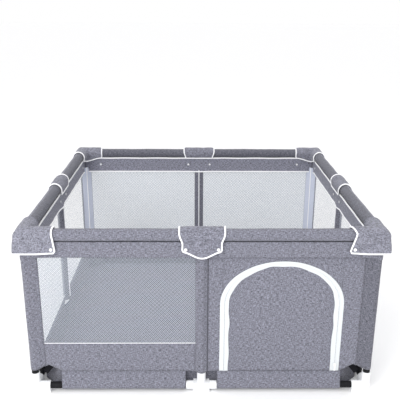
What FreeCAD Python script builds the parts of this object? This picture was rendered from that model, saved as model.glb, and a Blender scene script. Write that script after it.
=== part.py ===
import FreeCAD, Part
import os
import Sketcher

# A square fabric playpen: plug-together steel tubes, padded top rolls, mesh walls and a zip door.
# The origin is on the floor at the centre of the pen. +Z is up, and the door is in the -Y side.
# Every size below is in millimetres and can be changed by itself.

SIZES = {
    # overall: post axis to post axis, and the heights of the two rings of rails
    "pen_width": 1220,
    "pen_depth": 1220,
    "top_axis": 618,
    "bottom_axis": 25,
    # steel tubes and the plastic fittings that they plug into
    "tube_radius": 12.5,
    "tube_wall": 1.2,
    "socket_gap": 0.2,
    "tube_seat": 18,
    "foot_wall": 3.3,
    "corner_foot_arm": 53,
    "corner_socket_top": 70.6,
    "mid_foot_arm": 56,
    "mid_foot_block": 59,
    "mid_socket_top": 80,
    "joint_wall": 2,
    "joint_arm": 45,
    # padded rolls round the top rails
    "roll_radius": 22.7,
    "foam_gap": 0.5,
    "roll_gap": 3,
    # cloth walls, which hang in the plane of the post axes
    "cloth": 1.2,
    "seam_gap": 0.3,
    "band_gap": 0.3,
    "front_band_drop": 80,
    "band_drop": 96,
    "front_skirt_top": 200,
    "skirt_top": 110,
    "wall_hem": 84,
    "sleeve_gap": 0.3,
    "corner_flange": 42,
    "mid_flange": 22,
    # cloth tunnels round the bottom rails, and the floor
    "tunnel_corner_gap": 44,
    "tunnel_mid_gap": 1,
    "floor_cloth": 1.5,
    "floor_gap": 1,
    "floor_corner_cut": 70,
    # arched zip door
    "door_mid_margin": 42.7,
    "door_corner_margin": 62.7,
    "door_top_margin": 17,
    "arch_spring": 356,
    "zip_half_side": 16.5,
    "zip_half_top": 9.5,
    "zip_split": 0.3,
    "tape": 0.9,
    "coil": 2.3,
    "coil_width": 2.6,
    "slider_width": 9,
    "slider_length": 13,
    "slider_thickness": 2.4,
    "slider_rest": 20,
    "slider_gap": 0.4,
    "pull_width": 6,
    "pull_length": 24,
    "pull_thickness": 1.6,
    "bail_radius": 1.1,
    "bail_gap": 0.35,
    # padded covers over the corner and mid-side joints
    "cover_gap": 0.8,
    "cover_pad": 6.5,
    "corner_cover_arm": 108,
    "corner_cover_drop": 57,
    "cover_inner_drop": 21,
    "mid_cover_half_top": 79,
    "mid_cover_half_low": 67,
    "mid_cover_drop": 50,
    "mid_cover_bulge": 25,
    "snap_drop": 44,
    "snap_inset": 11,
    "rivet_drop": 56,
    "cap_radius": 6,
    "cap_height": 1.8,
    "stud_radius": 5,
    "stud_height": 1.6,
    # webbing tabs that tie the cloth to the corner feet
    "strap_width": 24,
    "strap_thickness": 1.5,
    "strap_length": 70,
    "strap_foot_reach": 40,
    "strap_lift": 21,
    "strap_inset": 14.6,
}

WALL_TOP_LAP = 10  # how far a wall runs up behind the hem of the top band
OVERSHOOT = 5  # how far a cutting tool runs past what it cuts
STRAP_SLOPE = 52  # degrees up from the foot to the wall
STRAP_TURN = 16  # degrees towards the wall, so that the upper end meets the cloth
BAIL_SHARE = 0.7  # how far up the zip slider its bail stands

X, Y, Z = FreeCAD.Vector(1, 0, 0), FreeCAD.Vector(0, 1, 0), FreeCAD.Vector(0, 0, 1)
TURNS = {
    "X": FreeCAD.Rotation(Y, 90),
    "Y": FreeCAD.Rotation(X, -90),
    "Z": FreeCAD.Rotation(),
}

doc = FreeCAD.newDocument("playpen")
sheet = doc.addObject("Spreadsheet::Sheet", "dim")
for row, (alias, size) in enumerate(SIZES.items(), start=1):
    sheet.set(f"A{row}", alias)
    sheet.set(f"B{row}", str(size))
    sheet.setAlias(f"B{row}", alias)
doc.recompute()

nodes = []

# Each side is (name, turn about Z, length formula, formula of its distance from the centre).
SIDES = [
    ("front", 0, "dim.pen_width", "dim.pen_depth / 2"),
    ("right", 90, "dim.pen_depth", "dim.pen_width / 2"),
    ("back", 180, "dim.pen_width", "dim.pen_depth / 2"),
    ("left", 270, "dim.pen_depth", "dim.pen_width / 2"),
]
# The corner where each side starts, seen from outside and going round anticlockwise from above.
CORNERS = ["front_left", "front_right", "back_right", "back_left"]

CLOTH_HALF = "dim.cloth / 2"
FOOT_RADIUS = "(dim.tube_radius + dim.socket_gap + dim.foot_wall)"
JOINT_RADIUS = "(dim.tube_radius + dim.socket_gap + dim.joint_wall)"
BAND_IN = f"({JOINT_RADIUS} + dim.band_gap)"
BAND_OUT = f"({BAND_IN} + dim.cloth)"
COVER_INSIDE = "(dim.roll_radius + dim.cover_gap)"
COVER_OUTSIDE = "(dim.roll_radius + dim.cover_gap + dim.cover_pad)"
# Round a post, a corner cover also clears the edge where two outer bands meet.
BAND_CORNER = f"sqrt(({BAND_IN} - dim.seam_gap) ^ 2 + {BAND_OUT} ^ 2)"
CORNER_INSIDE = f"(max(dim.roll_radius; {BAND_CORNER}) + dim.cover_gap)"
CORNER_OUTSIDE = f"({CORNER_INSIDE} + dim.cover_pad)"
TUNNEL_RADIUS = "(dim.tube_radius + dim.sleeve_gap + dim.cloth)"
BORE_RADIUS = "dim.tube_radius + dim.socket_gap"
POST_BOTTOM = "(dim.bottom_axis + dim.tube_seat)"
POST_TOP = "(dim.top_axis - dim.tube_seat)"


def bind(feature, formulas):
    """Ties properties of a feature to formulas over the sheet."""
    for path, formula in formulas.items():
        feature.setExpression(path, str(formula))
    return feature


def base(x, y, z):
    return {"Placement.Base.x": x, "Placement.Base.y": y, "Placement.Base.z": z}


def box(name, low, size):
    """A block from its low corner, with its length, width and height."""
    block = doc.addObject("Part::Box", name)
    return bind(block, {**base(*low), **dict(zip(("Length", "Width", "Height"), size))})


def rod(name, start, radius, length, along="Z"):
    """A round bar from the centre of its first end."""
    bar = doc.addObject("Part::Cylinder", name)
    bar.Placement = FreeCAD.Placement(FreeCAD.Vector(), TURNS[along])
    return bind(bar, {**base(*start), "Radius": radius, "Height": length})


def ball(name, centre, radius):
    sphere = doc.addObject("Part::Sphere", name)
    return bind(sphere, {**base(*centre), "Radius": radius})


def oval_block(name, centre, half_width, half_height, depth):
    """A bar of elliptical section, upright in X and Z, running inwards along Y from its centre."""
    oval = doc.addObject("Part::Ellipse", name + "_oval")
    oval.Placement = FreeCAD.Placement(FreeCAD.Vector(), FreeCAD.Rotation(X, 90))
    bind(oval, {**base(*centre), "MajorRadius": half_width, "MinorRadius": half_height})
    bar = doc.addObject("Part::Extrusion", name)
    bar.Base = oval
    bar.DirMode = "Custom"
    bar.Dir = Y
    bar.Solid = True
    return bind(bar, {"LengthFwd": depth})


def fuse(name, shapes):
    union = doc.addObject("Part::MultiFuse", name)
    union.Shapes = shapes
    union.Refine = True
    return union


def cut(name, solid, tools):
    result = doc.addObject("Part::Cut", name)
    result.Base = solid
    result.Tool = tools[0] if len(tools) == 1 else fuse(name + "_tools", tools)
    result.Refine = True
    return result


def held(name, feature):
    """Holds a turned feature as it lies, so that it can be placed as a whole."""
    holder = doc.addObject("Part::Compound", name)
    holder.Links = [feature]
    return holder


def place(feature, side, along="0", inward="0", up="0"):
    """Moves a feature from the origin onto a side, with its X along the side and its Y inwards."""
    _, turn, _, out = side
    depth = f"({out} - ({inward}))"
    here = f"({along})"
    x, y = {
        0: (here, f"-{depth}"),
        90: (depth, here),
        180: (f"-{here}", depth),
        270: (f"-{depth}", f"-{here}"),
    }[turn]
    feature.Placement = FreeCAD.Placement(FreeCAD.Vector(), FreeCAD.Rotation(Z, turn))
    return bind(feature, base(x, y, up))


def at_corner(feature, side, up="0"):
    """Puts a feature on the post axis at the corner where a side starts."""
    return place(feature, side, along=f"-{side[2]} / 2", up=up)


def node(name, parts):
    """Names one sub-part, which is one feature or a group of separate solids."""
    if len(parts) == 1:
        feature = parts[0]
    else:
        feature = doc.addObject("Part::Compound", name + "_group")
        feature.Links = parts
    feature.Label = name
    nodes.append(feature)
    return feature


def tube(name, length, along="Z"):
    """A steel tube from the origin."""
    outer = rod(name + "_outer", (0, 0, 0), "dim.tube_radius", length, along)
    bore = rod(name + "_bore", (0, 0, 0), "dim.tube_radius - dim.tube_wall", length, along)
    return cut(name, outer, [bore])


def half_sides(side):
    """The two halves of a side: a name, and +1 or -1 for the way along the side from its middle."""
    return [(f"{side[0]}_first", -1), (f"{side[0]}_second", 1)]


def sketch_body(name, plane):
    """A body with an empty sketch on one of its own origin planes."""
    body = doc.addObject("PartDesign::Body", name)
    outline = body.newObject("Sketcher::SketchObject", name + "_outline")
    support = [item for item in body.Origin.OriginFeatures if item.Role == plane][0]
    outline.AttachmentSupport = (support, [""])
    outline.MapMode = "FlatFace"
    return body, outline


def polygon_pad(name, plane, points, thickness):
    """A flat piece padded from a closed outline, whose corners are (formula, formula) pairs."""
    body, outline = sketch_body(name, plane)
    count = len(points)
    spots = [FreeCAD.Rotation(Z, 360.0 * i / count).multVec(X * 100) for i in range(count)]
    for i in range(count):
        outline.addGeometry(Part.LineSegment(spots[i], spots[(i + 1) % count]), False)
    for i in range(count):
        outline.addConstraint(Sketcher.Constraint("Coincident", i, 2, (i + 1) % count, 1))
    for i, (across, up) in enumerate(points):
        for kind, formula in (("DistanceX", across), ("DistanceY", up)):
            start = spots[i].x if kind == "DistanceX" else spots[i].y
            index = outline.addConstraint(Sketcher.Constraint(kind, -1, 1, i, 1, start))
            outline.renameConstraint(index, f"{kind}_{i}")
            outline.setExpression(f"Constraints.{kind}_{i}", formula)
    pad = body.newObject("PartDesign::Pad", name + "_pad")
    pad.Profile = outline
    bind(pad, {"Length": thickness})
    body.Tip = pad
    return body


def corner_foot(side, corner):
    """A three-way plastic socket: one arm along each rail and one up the post, flat underneath."""
    name = f"corner_foot_{corner}"
    radius, axis, arm = FOOT_RADIUS, "dim.bottom_axis", "dim.corner_foot_arm"
    solid = fuse(
        name + "_solid",
        [
            rod(name + "_x", (0, 0, axis), radius, arm, "X"),
            rod(name + "_y", (0, 0, axis), radius, arm, "Y"),
            rod(name + "_up", (0, 0, 0), radius, "dim.corner_socket_top"),
            box(name + "_x_base", (0, f"-{radius}", 0), (arm, f"2 * {radius}", axis)),
            box(name + "_y_base", (f"-{radius}", 0, 0), (f"2 * {radius}", arm, axis)),
        ],
    )
    bore = f"{arm} - dim.tube_seat + {OVERSHOOT}"
    tools = [
        rod(name + "_bore_x", ("dim.tube_seat", 0, axis), BORE_RADIUS, bore, "X"),
        rod(name + "_bore_y", (0, "dim.tube_seat", axis), BORE_RADIUS, bore, "Y"),
        rod(name + "_bore_up", (0, 0, POST_BOTTOM), BORE_RADIUS, "dim.corner_socket_top"),
    ]
    node(name, [at_corner(cut(name, solid, tools), side)])


def mid_foot(side):
    """A T-shaped plastic socket under the middle of a side, with a block for its foot."""
    name = f"mid_foot_{side[0]}"
    radius, axis, arm = FOOT_RADIUS, "dim.bottom_axis", "dim.mid_foot_arm"
    solid = fuse(
        name + "_solid",
        [
            rod(name + "_x", (f"-{arm}", 0, axis), radius, f"2 * {arm}", "X"),
            rod(name + "_up", (0, 0, 0), radius, "dim.mid_socket_top"),
            box(
                name + "_block",
                ("-dim.mid_foot_block / 2", f"-{radius}", 0),
                ("dim.mid_foot_block", f"2 * {radius}", f"{axis} + {radius}"),
            ),
        ],
    )
    bore = f"{arm} - dim.tube_seat + {OVERSHOOT}"
    start = f"-{arm} - {OVERSHOOT}"
    tools = [
        rod(name + "_bore_first", (start, 0, axis), BORE_RADIUS, bore, "X"),
        rod(name + "_bore_second", ("dim.tube_seat", 0, axis), BORE_RADIUS, bore, "X"),
        rod(name + "_bore_up", (0, 0, POST_BOTTOM), BORE_RADIUS, "dim.mid_socket_top"),
    ]
    node(name, [place(cut(name, solid, tools), side)])


def post(name, side, along):
    length = f"{POST_TOP} - {POST_BOTTOM} - 2 * dim.socket_gap"
    up = f"{POST_BOTTOM} + dim.socket_gap"
    node(name, [place(tube(name, length), side, along=along, up=up)])


def rail_pair(name, side, axis):
    """The two tubes that run from the corners of a side to its middle."""
    length = f"({side[2]} / 2 - 2 * (dim.tube_seat + dim.socket_gap))"
    pair = []
    for half, way in half_sides(side):
        start = "dim.tube_seat + dim.socket_gap"
        along = f"{start}" if way > 0 else f"-({start}) - {length}"
        pair.append(place(tube(f"{name}_{half}", length, "X"), side, along=along, up=axis))
    node(name, pair)


def top_joint(name, side, along, arms):
    """A plastic fitting inside the padding: a ball with sockets for the rails and for the post."""
    radius, arm = JOINT_RADIUS, "dim.joint_arm"
    bore = f"{arm} - dim.tube_seat + {OVERSHOOT}"
    solids = [
        ball(name + "_hub", (0, 0, 0), radius),
        rod(name + "_down", (0, 0, f"-{arm}"), radius, arm),
    ]
    tools = [rod(name + "_bore_down", (0, 0, f"-{arm} - {OVERSHOOT}"), BORE_RADIUS, bore)]
    for axis, way in arms:
        start = "0" if way > 0 else f"-{arm}"
        bore_start = "dim.tube_seat" if way > 0 else f"-{arm} - {OVERSHOOT}"
        spot = (start, 0, 0) if axis == "X" else (0, start, 0)
        bore_spot = (bore_start, 0, 0) if axis == "X" else (0, bore_start, 0)
        tag = f"{name}_{axis}{'p' if way > 0 else 'n'}"
        solids.append(rod(tag, spot, radius, arm, axis))
        tools.append(rod(tag + "_bore", bore_spot, BORE_RADIUS, bore, axis))
    fitting = cut(name, fuse(name + "_solid", solids), tools)
    return place(fitting, side, along=along, up="dim.top_axis")


def padded_rolls(side):
    """Foam tubes in their cloth round the two top rails of a side."""
    pair = []
    inset = "(dim.joint_arm + dim.roll_gap)"
    length = f"({side[2]} / 2 - 2 * {inset})"
    for half, way in half_sides(side):
        name = f"roll_{half}"
        outer = rod(name + "_outer", (0, 0, 0), "dim.roll_radius", length, "X")
        hole = rod(name + "_hole", (0, 0, 0), "dim.tube_radius + dim.foam_gap", length, "X")
        along = inset if way > 0 else f"-{inset} - {length}"
        pair.append(place(cut(name, outer, [hole]), side, along=along, up="dim.top_axis"))
    node(f"padded_rolls_{side[0]}", pair)


def band_hem(side):
    drop = "dim.front_band_drop" if side[0] == "front" else "dim.band_drop"
    return f"(dim.top_axis - {drop})"


def top_band(side):
    """The strips of cloth that hang below the roll, one outside the posts and one inside."""
    hem = band_hem(side)
    drop = f"sqrt(dim.roll_radius ^ 2 - {BAND_IN} ^ 2)"
    height = f"dim.top_axis - {drop} - dim.seam_gap - {hem}"
    strips = []
    for layer, reach, inward in (
        ("outer", f"{BAND_IN} - dim.seam_gap", f"-{BAND_OUT}"),
        ("inner", f"-{BAND_OUT} - dim.seam_gap", BAND_IN),
    ):
        half = f"({side[2]} / 2 + {reach})"
        strip = box(f"band_{side[0]}_{layer}", (0, 0, 0), (f"2 * {half}", "dim.cloth", height))
        strips.append(place(strip, side, along=f"-{half}", inward=inward, up=hem))
    node(f"top_band_{side[0]}", strips)


def wall_span(side):
    """Formulas for where a half wall starts, counted from the middle of a side, and its length."""
    start = "(dim.mid_flange + dim.seam_gap)"
    length = f"({side[2]} / 2 - dim.corner_flange - dim.mid_flange - 2 * dim.seam_gap)"
    return start, length


def wall_slab(name, side, way, low, high):
    """A flat sheet of wall cloth over half a side, between two heights."""
    start, length = wall_span(side)
    height = f"{high} - ({low})"
    slab = box(name, (0, 0, 0), (length, "dim.cloth", height))
    along = start if way > 0 else f"-{start} - {length}"
    return place(slab, side, along=along, inward=f"-{CLOTH_HALF}", up=low)


def walls(side):
    """Mesh panels over gray skirts. The second half of the front is the door's."""
    front = side[0] == "front"
    skirt_top = "dim.front_skirt_top" if front else "dim.skirt_top"
    mesh, skirts = [], []
    for half, way in half_sides(side)[: 1 if front else 2]:
        top = f"{band_hem(side)} + {WALL_TOP_LAP}"
        mesh.append(wall_slab(f"mesh_{half}", side, way, f"{skirt_top} + dim.seam_gap", top))
        skirts.append(wall_slab(f"skirt_{half}", side, way, "dim.wall_hem", skirt_top))
    node(f"mesh_wall_{side[0]}", mesh)
    return skirts


def flanged_sleeve(name, height, directions, flange):
    """A cloth pocket round a post, with flat flanges where it is sewn to the walls."""
    shell = "dim.tube_radius + dim.sleeve_gap"
    bars = [rod(name + "_round", (0, 0, 0), f"{shell} + dim.cloth", height)]
    for index, (axis, way) in enumerate(directions):
        start = "0" if way > 0 else f"-{flange}"
        low = (start, f"-{CLOTH_HALF}", 0) if axis == "X" else (f"-{CLOTH_HALF}", start, 0)
        size = (flange, "dim.cloth", height) if axis == "X" else ("dim.cloth", flange, height)
        bars.append(box(f"{name}_flange_{index}", low, size))
    hole = rod(name + "_hole", (0, 0, 0), shell, height)
    return cut(name, fuse(name + "_solid", bars), [hole])


def sleeve_height(side, low):
    return f"{band_hem(side)} + {WALL_TOP_LAP} - ({low})"


def rail_tunnels(side):
    """Cloth tunnels that hang from the wall hem and wrap the bottom rails."""
    tunnels = []
    start = "(dim.mid_foot_arm + dim.tunnel_mid_gap)"
    length = f"({side[2]} / 2 - dim.corner_foot_arm - dim.tunnel_corner_gap - {start})"
    for half, way in half_sides(side):
        name = f"tunnel_{half}"
        wrap = rod(name + "_wrap", (0, 0, 0), TUNNEL_RADIUS, length, "X")
        height = "dim.wall_hem - dim.seam_gap - dim.bottom_axis"
        strip = box(name + "_strip", (0, f"-{CLOTH_HALF}", 0), (length, "dim.cloth", height))
        hole = rod(name + "_hole", (0, 0, 0), "dim.tube_radius + dim.sleeve_gap", length, "X")
        along = start if way > 0 else f"-{start} - {length}"
        solid = cut(name, fuse(name + "_solid", [wrap, strip]), [hole])
        tunnels.append(place(solid, side, along=along, up="dim.bottom_axis"))
    return tunnels


def floor_sheet():
    """The floor cloth: a rectangle inside the rails with its corners cut off for the feet."""
    half_x = f"(dim.pen_width / 2 - {FOOT_RADIUS} - dim.floor_gap)"
    half_y = f"(dim.pen_depth / 2 - {FOOT_RADIUS} - dim.floor_gap)"
    trim = "dim.floor_corner_cut"
    points = []
    for sign_x, sign_y in ((1, -1), (1, 1), (-1, 1), (-1, -1)):
        near_y = (f"{sign_x} * {half_x}", f"{sign_y} * ({half_y} - {trim})")
        near_x = (f"{sign_x} * ({half_x} - {trim})", f"{sign_y} * {half_y}")
        points += [near_x, near_y] if sign_x * sign_y < 0 else [near_y, near_x]
    node("floor_sheet", [polygon_pad("floor_sheet", "XY_Plane", points, "dim.floor_cloth")])


def door_span(side):
    """Formulas for the middle of the arch, counted from the middle of a side, and its half width."""
    start, length = wall_span(side)
    left = f"({start} + dim.door_mid_margin)"
    right = f"({start} + {length} - dim.door_corner_margin)"
    return f"(({left} + {right}) / 2)", f"(({right} - {left}) / 2)"


ARCH_CENTRE, ARCH_HALF = door_span(SIDES[0])
ARCH_RISE = f"({band_hem(SIDES[0])} - dim.door_top_margin - dim.arch_spring)"


def arch(name, inset_side, inset_top, outward, depth, low="dim.wall_hem"):
    """A solid in the outline of the door's arch, drawn in by the insets, from a distance outside the wall."""
    half = f"({ARCH_HALF} - ({inset_side}))"
    lower = box(
        name + "_legs",
        (f"-{half}", f"-({outward})", low),
        (f"2 * {half}", depth, f"dim.arch_spring - ({low})"),
    )
    centre = (0, f"-({outward})", "dim.arch_spring")
    upper = oval_block(name + "_head", centre, half, f"{ARCH_RISE} - ({inset_top})", depth)
    return fuse(name, [lower, upper])


def arch_strip(name, insets, outward, depth, low):
    """The strip between two arches, from the outer (side, top) inset to the inner one."""
    (outer_side, outer_top), (inner_side, inner_top) = insets
    outer = arch(name + "_out", outer_side, outer_top, outward, depth, low)
    deeper = f"{depth} + 2 * {OVERSHOOT}"
    inner = arch(
        name + "_in", inner_side, inner_top, f"{outward} + {OVERSHOOT}", deeper, f"{low} - {OVERSHOOT}"
    )
    return cut(name, outer, [inner])


ZIP_OUT = ("dim.zip_half_side - dim.zip_split / 2", "dim.zip_half_top - dim.zip_split / 2")
ZIP_IN = ("dim.zip_half_side + dim.zip_split / 2", "dim.zip_half_top + dim.zip_split / 2")
DOOR_LOW = "dim.wall_hem + 2 * dim.seam_gap"
TAPE_BACK = f"({CLOTH_HALF} + dim.zip_split / 2)"


def zip_half(name, side, insets, coil_insets):
    """Half a zip: a flat tape in front of the cloth with the ridge of its coil along one edge."""
    flat = arch_strip(name + "_tape", insets, f"{TAPE_BACK} + dim.tape", "dim.tape", DOOR_LOW)
    ridge = arch_strip(name + "_coil", coil_insets, f"{TAPE_BACK} + dim.coil", "dim.coil", DOOR_LOW)
    node(name, [place(fuse(name, [flat, ridge]), side, along=ARCH_CENTRE)])


def door(side):
    """The gray panel round the door, the arched door itself and the two halves of the zip."""
    top = f"{band_hem(side)} + {WALL_TOP_LAP}"
    slab = wall_slab("surround_slab", side, 1, "dim.wall_hem", top)
    hole = arch(
        "surround_hole",
        *ZIP_OUT,
        f"{CLOTH_HALF} + {OVERSHOOT}",
        f"dim.cloth + 2 * {OVERSHOOT}",
        f"dim.wall_hem - {OVERSHOOT}",
    )
    place(hole, side, along=ARCH_CENTRE)
    node("door_surround", [cut("door_surround", slab, [hole])])
    panel = arch("door_panel", *ZIP_IN, CLOTH_HALF, "dim.cloth", DOOR_LOW)
    node("door_panel", [place(panel, side, along=ARCH_CENTRE)])
    near = [f"{inset} - dim.coil_width" for inset in ZIP_OUT]
    far = [f"{inset} + dim.coil_width" for inset in ZIP_IN]
    zip_half("zip_half_wall", side, (("0", "0"), ZIP_OUT), (near, ZIP_OUT))
    inner_edge = ("2 * dim.zip_half_side", "2 * dim.zip_half_top")
    zip_half("zip_half_door", side, (ZIP_IN, inner_edge), (ZIP_IN, far))


def zip_slider(side):
    """The slider over the coils at the foot of the arch's second leg, with a bail, and its pull tab."""
    along = f"{ARCH_CENTRE} + {ARCH_HALF} - dim.zip_half_side"
    back = f"({TAPE_BACK} + dim.coil + dim.slider_gap)"
    front = f"({back} + dim.slider_thickness)"
    low = f"({DOOR_LOW} + dim.slider_rest)"
    width, length = "dim.slider_width", "dim.slider_length"
    bail_z = f"({BAIL_SHARE} * {length})"
    bail_out = "(dim.pull_thickness / 2 + 2 * dim.bail_gap + dim.bail_radius)"
    plate = box(
        "slider_plate", (f"-{width} / 2", f"-{front}", 0), (width, "dim.slider_thickness", length)
    )
    bar = f"-{front} - {bail_out}"
    half = "(dim.pull_width / 2 + dim.bail_gap)"
    lug_size = (
        "2 * dim.bail_radius",
        f"{bail_out} + dim.bail_radius",
        "2 * dim.bail_radius",
    )
    lug_low = (bar + " - dim.bail_radius", f"{bail_z} - dim.bail_radius")
    bail = [
        rod("slider_bar", (f"-{half}", bar, bail_z), "dim.bail_radius", f"2 * {half}", "X"),
        box("slider_lug_a", (f"-{half} - 2 * dim.bail_radius", *lug_low), lug_size),
        box("slider_lug_b", (half, *lug_low), lug_size),
    ]
    slider = fuse("zip_slider", [plate, *bail])
    node("zip_slider", [place(slider, side, along=along, up=low)])

    eye = "(dim.bail_radius + dim.bail_gap)"
    head = f"({eye} + dim.pull_thickness / 2)"
    ring = rod("pull_eye", ("-dim.pull_width / 2", bar, bail_z), head, "dim.pull_width", "X")
    blade = box(
        "pull_blade",
        ("-dim.pull_width / 2", f"{bar} - {head}", f"{bail_z} - dim.pull_length"),
        ("dim.pull_width", "dim.pull_thickness", "dim.pull_length"),
    )
    hole = rod(
        "pull_hole",
        (f"-dim.pull_width / 2 - {OVERSHOOT}", bar, bail_z),
        eye,
        f"dim.pull_width + 2 * {OVERSHOOT}",
        "X",
    )
    pull = cut("zip_pull", fuse("pull_solid", [ring, blade]), [hole])
    node("zip_pull", [place(pull, side, along=along, up=low)])


def corner_shape(name, radius, corner_radius, arm, depth):
    """An L-shaped hood, round on top and straight down its sides, about the origin at rail height."""
    return fuse(
        name,
        [
            ball(name + "_crown", (0, 0, 0), radius),
            rod(name + "_x", (0, 0, 0), radius, arm, "X"),
            rod(name + "_y", (0, 0, 0), radius, arm, "Y"),
            rod(name + "_down", (0, 0, f"-{depth}"), corner_radius, depth),
            box(name + "_x_skirt", (0, f"-{radius}", f"-{depth}"), (arm, f"2 * {radius}", depth)),
            box(name + "_y_skirt", (f"-{radius}", 0, f"-{depth}"), (f"2 * {radius}", arm, depth)),
        ],
    )


def corner_cover(side, corner):
    """A padded hood over a corner with a snap cap on each outer face."""
    name = f"corner_cover_{corner}"
    arm, drop = "dim.corner_cover_arm", "dim.corner_cover_drop"
    outer = corner_shape(name + "_outer", COVER_OUTSIDE, CORNER_OUTSIDE, arm, drop)
    deeper = f"({drop} + {OVERSHOOT})"
    beyond = f"{arm} + {OVERSHOOT}"
    cavity = corner_shape(name + "_cavity", COVER_INSIDE, CORNER_INSIDE, beyond, deeper)
    relief = box(
        name + "_relief",
        (COVER_INSIDE, COVER_INSIDE, f"-{deeper}"),
        (arm, arm, f"{deeper} - dim.cover_inner_drop"),
    )
    hood = cut(name + "_hood", outer, [cavity, relief])
    snap = "-dim.snap_drop"
    cap_start = f"-{COVER_OUTSIDE} - dim.cap_height"
    cap_length = "dim.cap_height + dim.cover_pad / 2"
    reach = f"{arm} - dim.snap_inset"
    caps = [
        rod(name + "_cap_a", (reach, cap_start, snap), "dim.cap_radius", cap_length, "Y"),
        rod(name + "_cap_b", (cap_start, reach, snap), "dim.cap_radius", cap_length, "X"),
    ]
    node(name, [at_corner(fuse(name, [hood, *caps]), side, up="dim.top_axis")])


def mid_cover(side):
    """A padded saddle over the middle of a side, with a rounded flap outside and two snap caps."""
    name = f"mid_cover_{side[0]}"
    half_top, half_low = "dim.mid_cover_half_top", "dim.mid_cover_half_low"
    drop = "dim.mid_cover_drop"
    flap = doc.addObject("Part::Wedge", name + "_flap")
    bind(
        flap,
        {
            "Xmin": f"-{half_low}",
            "Xmax": half_low,
            "X2min": f"-{half_top}",
            "X2max": half_top,
            "Ymin": "0",
            "Ymax": drop,
            "Zmin": f"-{COVER_OUTSIDE}",
            "Zmax": COVER_OUTSIDE,
            "Z2min": f"-{COVER_OUTSIDE}",
            "Z2max": COVER_OUTSIDE,
        },
    )
    flap.Placement = FreeCAD.Placement(FreeCAD.Vector(), FreeCAD.Rotation(X, 90))
    bind(flap, base("0", "0", f"-{drop}"))
    centre = ("0", f"-{COVER_OUTSIDE}", f"-{drop}")
    hem = oval_block(name + "_hem", centre, half_low, "dim.mid_cover_bulge", COVER_OUTSIDE)
    top = rod(name + "_top", (f"-{half_top}", 0, 0), COVER_OUTSIDE, f"2 * {half_top}", "X")
    outer = fuse(name + "_outer", [flap, hem, top])
    reach = f"({half_top} + {OVERSHOOT})"
    deep = f"({drop} + dim.mid_cover_bulge + {OVERSHOOT})"
    relief_height = f"{deep} - dim.cover_inner_drop"
    tools = [
        rod(name + "_bore", (f"-{reach}", 0, 0), COVER_INSIDE, f"2 * {reach}", "X"),
        box(
            name + "_slot",
            (f"-{reach}", f"-{COVER_INSIDE}", f"-{deep}"),
            (f"2 * {reach}", f"2 * {COVER_INSIDE}", deep),
        ),
        box(name + "_relief", (f"-{reach}", 0, f"-{deep}"), (f"2 * {reach}", reach, relief_height)),
    ]
    saddle = cut(name + "_saddle", outer, tools)
    caps = []
    for index, way in enumerate((-1, 1)):
        spot = (
            f"{way} * ({half_low} - dim.snap_inset)",
            f"-{COVER_OUTSIDE} - dim.cap_height",
            "-dim.snap_drop",
        )
        length = "dim.cap_height + dim.cover_pad / 2"
        caps.append(rod(f"{name}_cap_{index}", spot, "dim.cap_radius", length, "Y"))
    node(name, [place(fuse(name, [saddle, *caps]), side, up="dim.top_axis")])


def snap_studs(side):
    """The studs on a side's outer band and the rivet heads on its inner band."""
    corner = f"({side[2]} / 2 - dim.corner_cover_arm + dim.snap_inset)"
    middle = "(dim.mid_cover_half_low - dim.snap_inset)"
    layers = (
        ("stud", f"-{BAND_OUT} - dim.seam_gap / 2 - dim.stud_height", "dim.snap_drop"),
        ("rivet", f"{BAND_OUT} + dim.seam_gap / 2", "dim.rivet_drop"),
    )
    studs = []
    for spot, along in enumerate((f"-{corner}", f"-{middle}", middle, corner)):
        for layer, inward, drop in layers:
            name = f"{layer}_{side[0]}_{spot}"
            disc = rod(name, (0, 0, 0), "dim.stud_radius", "dim.stud_height", "Y")
            up = f"dim.top_axis - {drop}"
            studs.append(place(held(name + "_at", disc), side, along=along, inward=inward, up=up))
    return studs


def corner_straps(side):
    """Webbing tabs at both ends of a side, slanting from behind the wall hem down to the feet."""
    straps = []
    for way in (-1, 1):
        name = f"strap_{side[0]}_{'first' if way < 0 else 'second'}"
        size = ("dim.strap_length", "dim.strap_thickness", "dim.strap_width")
        slab = box(name + "_web", (0, 0, 0 if way < 0 else "-dim.strap_width"), size)
        slope = FreeCAD.Rotation(Y, -STRAP_SLOPE if way < 0 else STRAP_SLOPE - 180)
        tilted = held(name + "_tilted", slab)
        tilted.Placement = FreeCAD.Placement(
            FreeCAD.Vector(), FreeCAD.Rotation(Z, STRAP_TURN * way).multiply(slope)
        )
        along = f"{'-' if way < 0 else ''}({side[2]} / 2 - dim.strap_foot_reach)"
        up = f"dim.bottom_axis + {FOOT_RADIUS} + dim.strap_lift"
        whole = held(name, tilted)
        straps.append(place(whole, side, along=along, inward="dim.strap_inset", up=up))
    return straps


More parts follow.
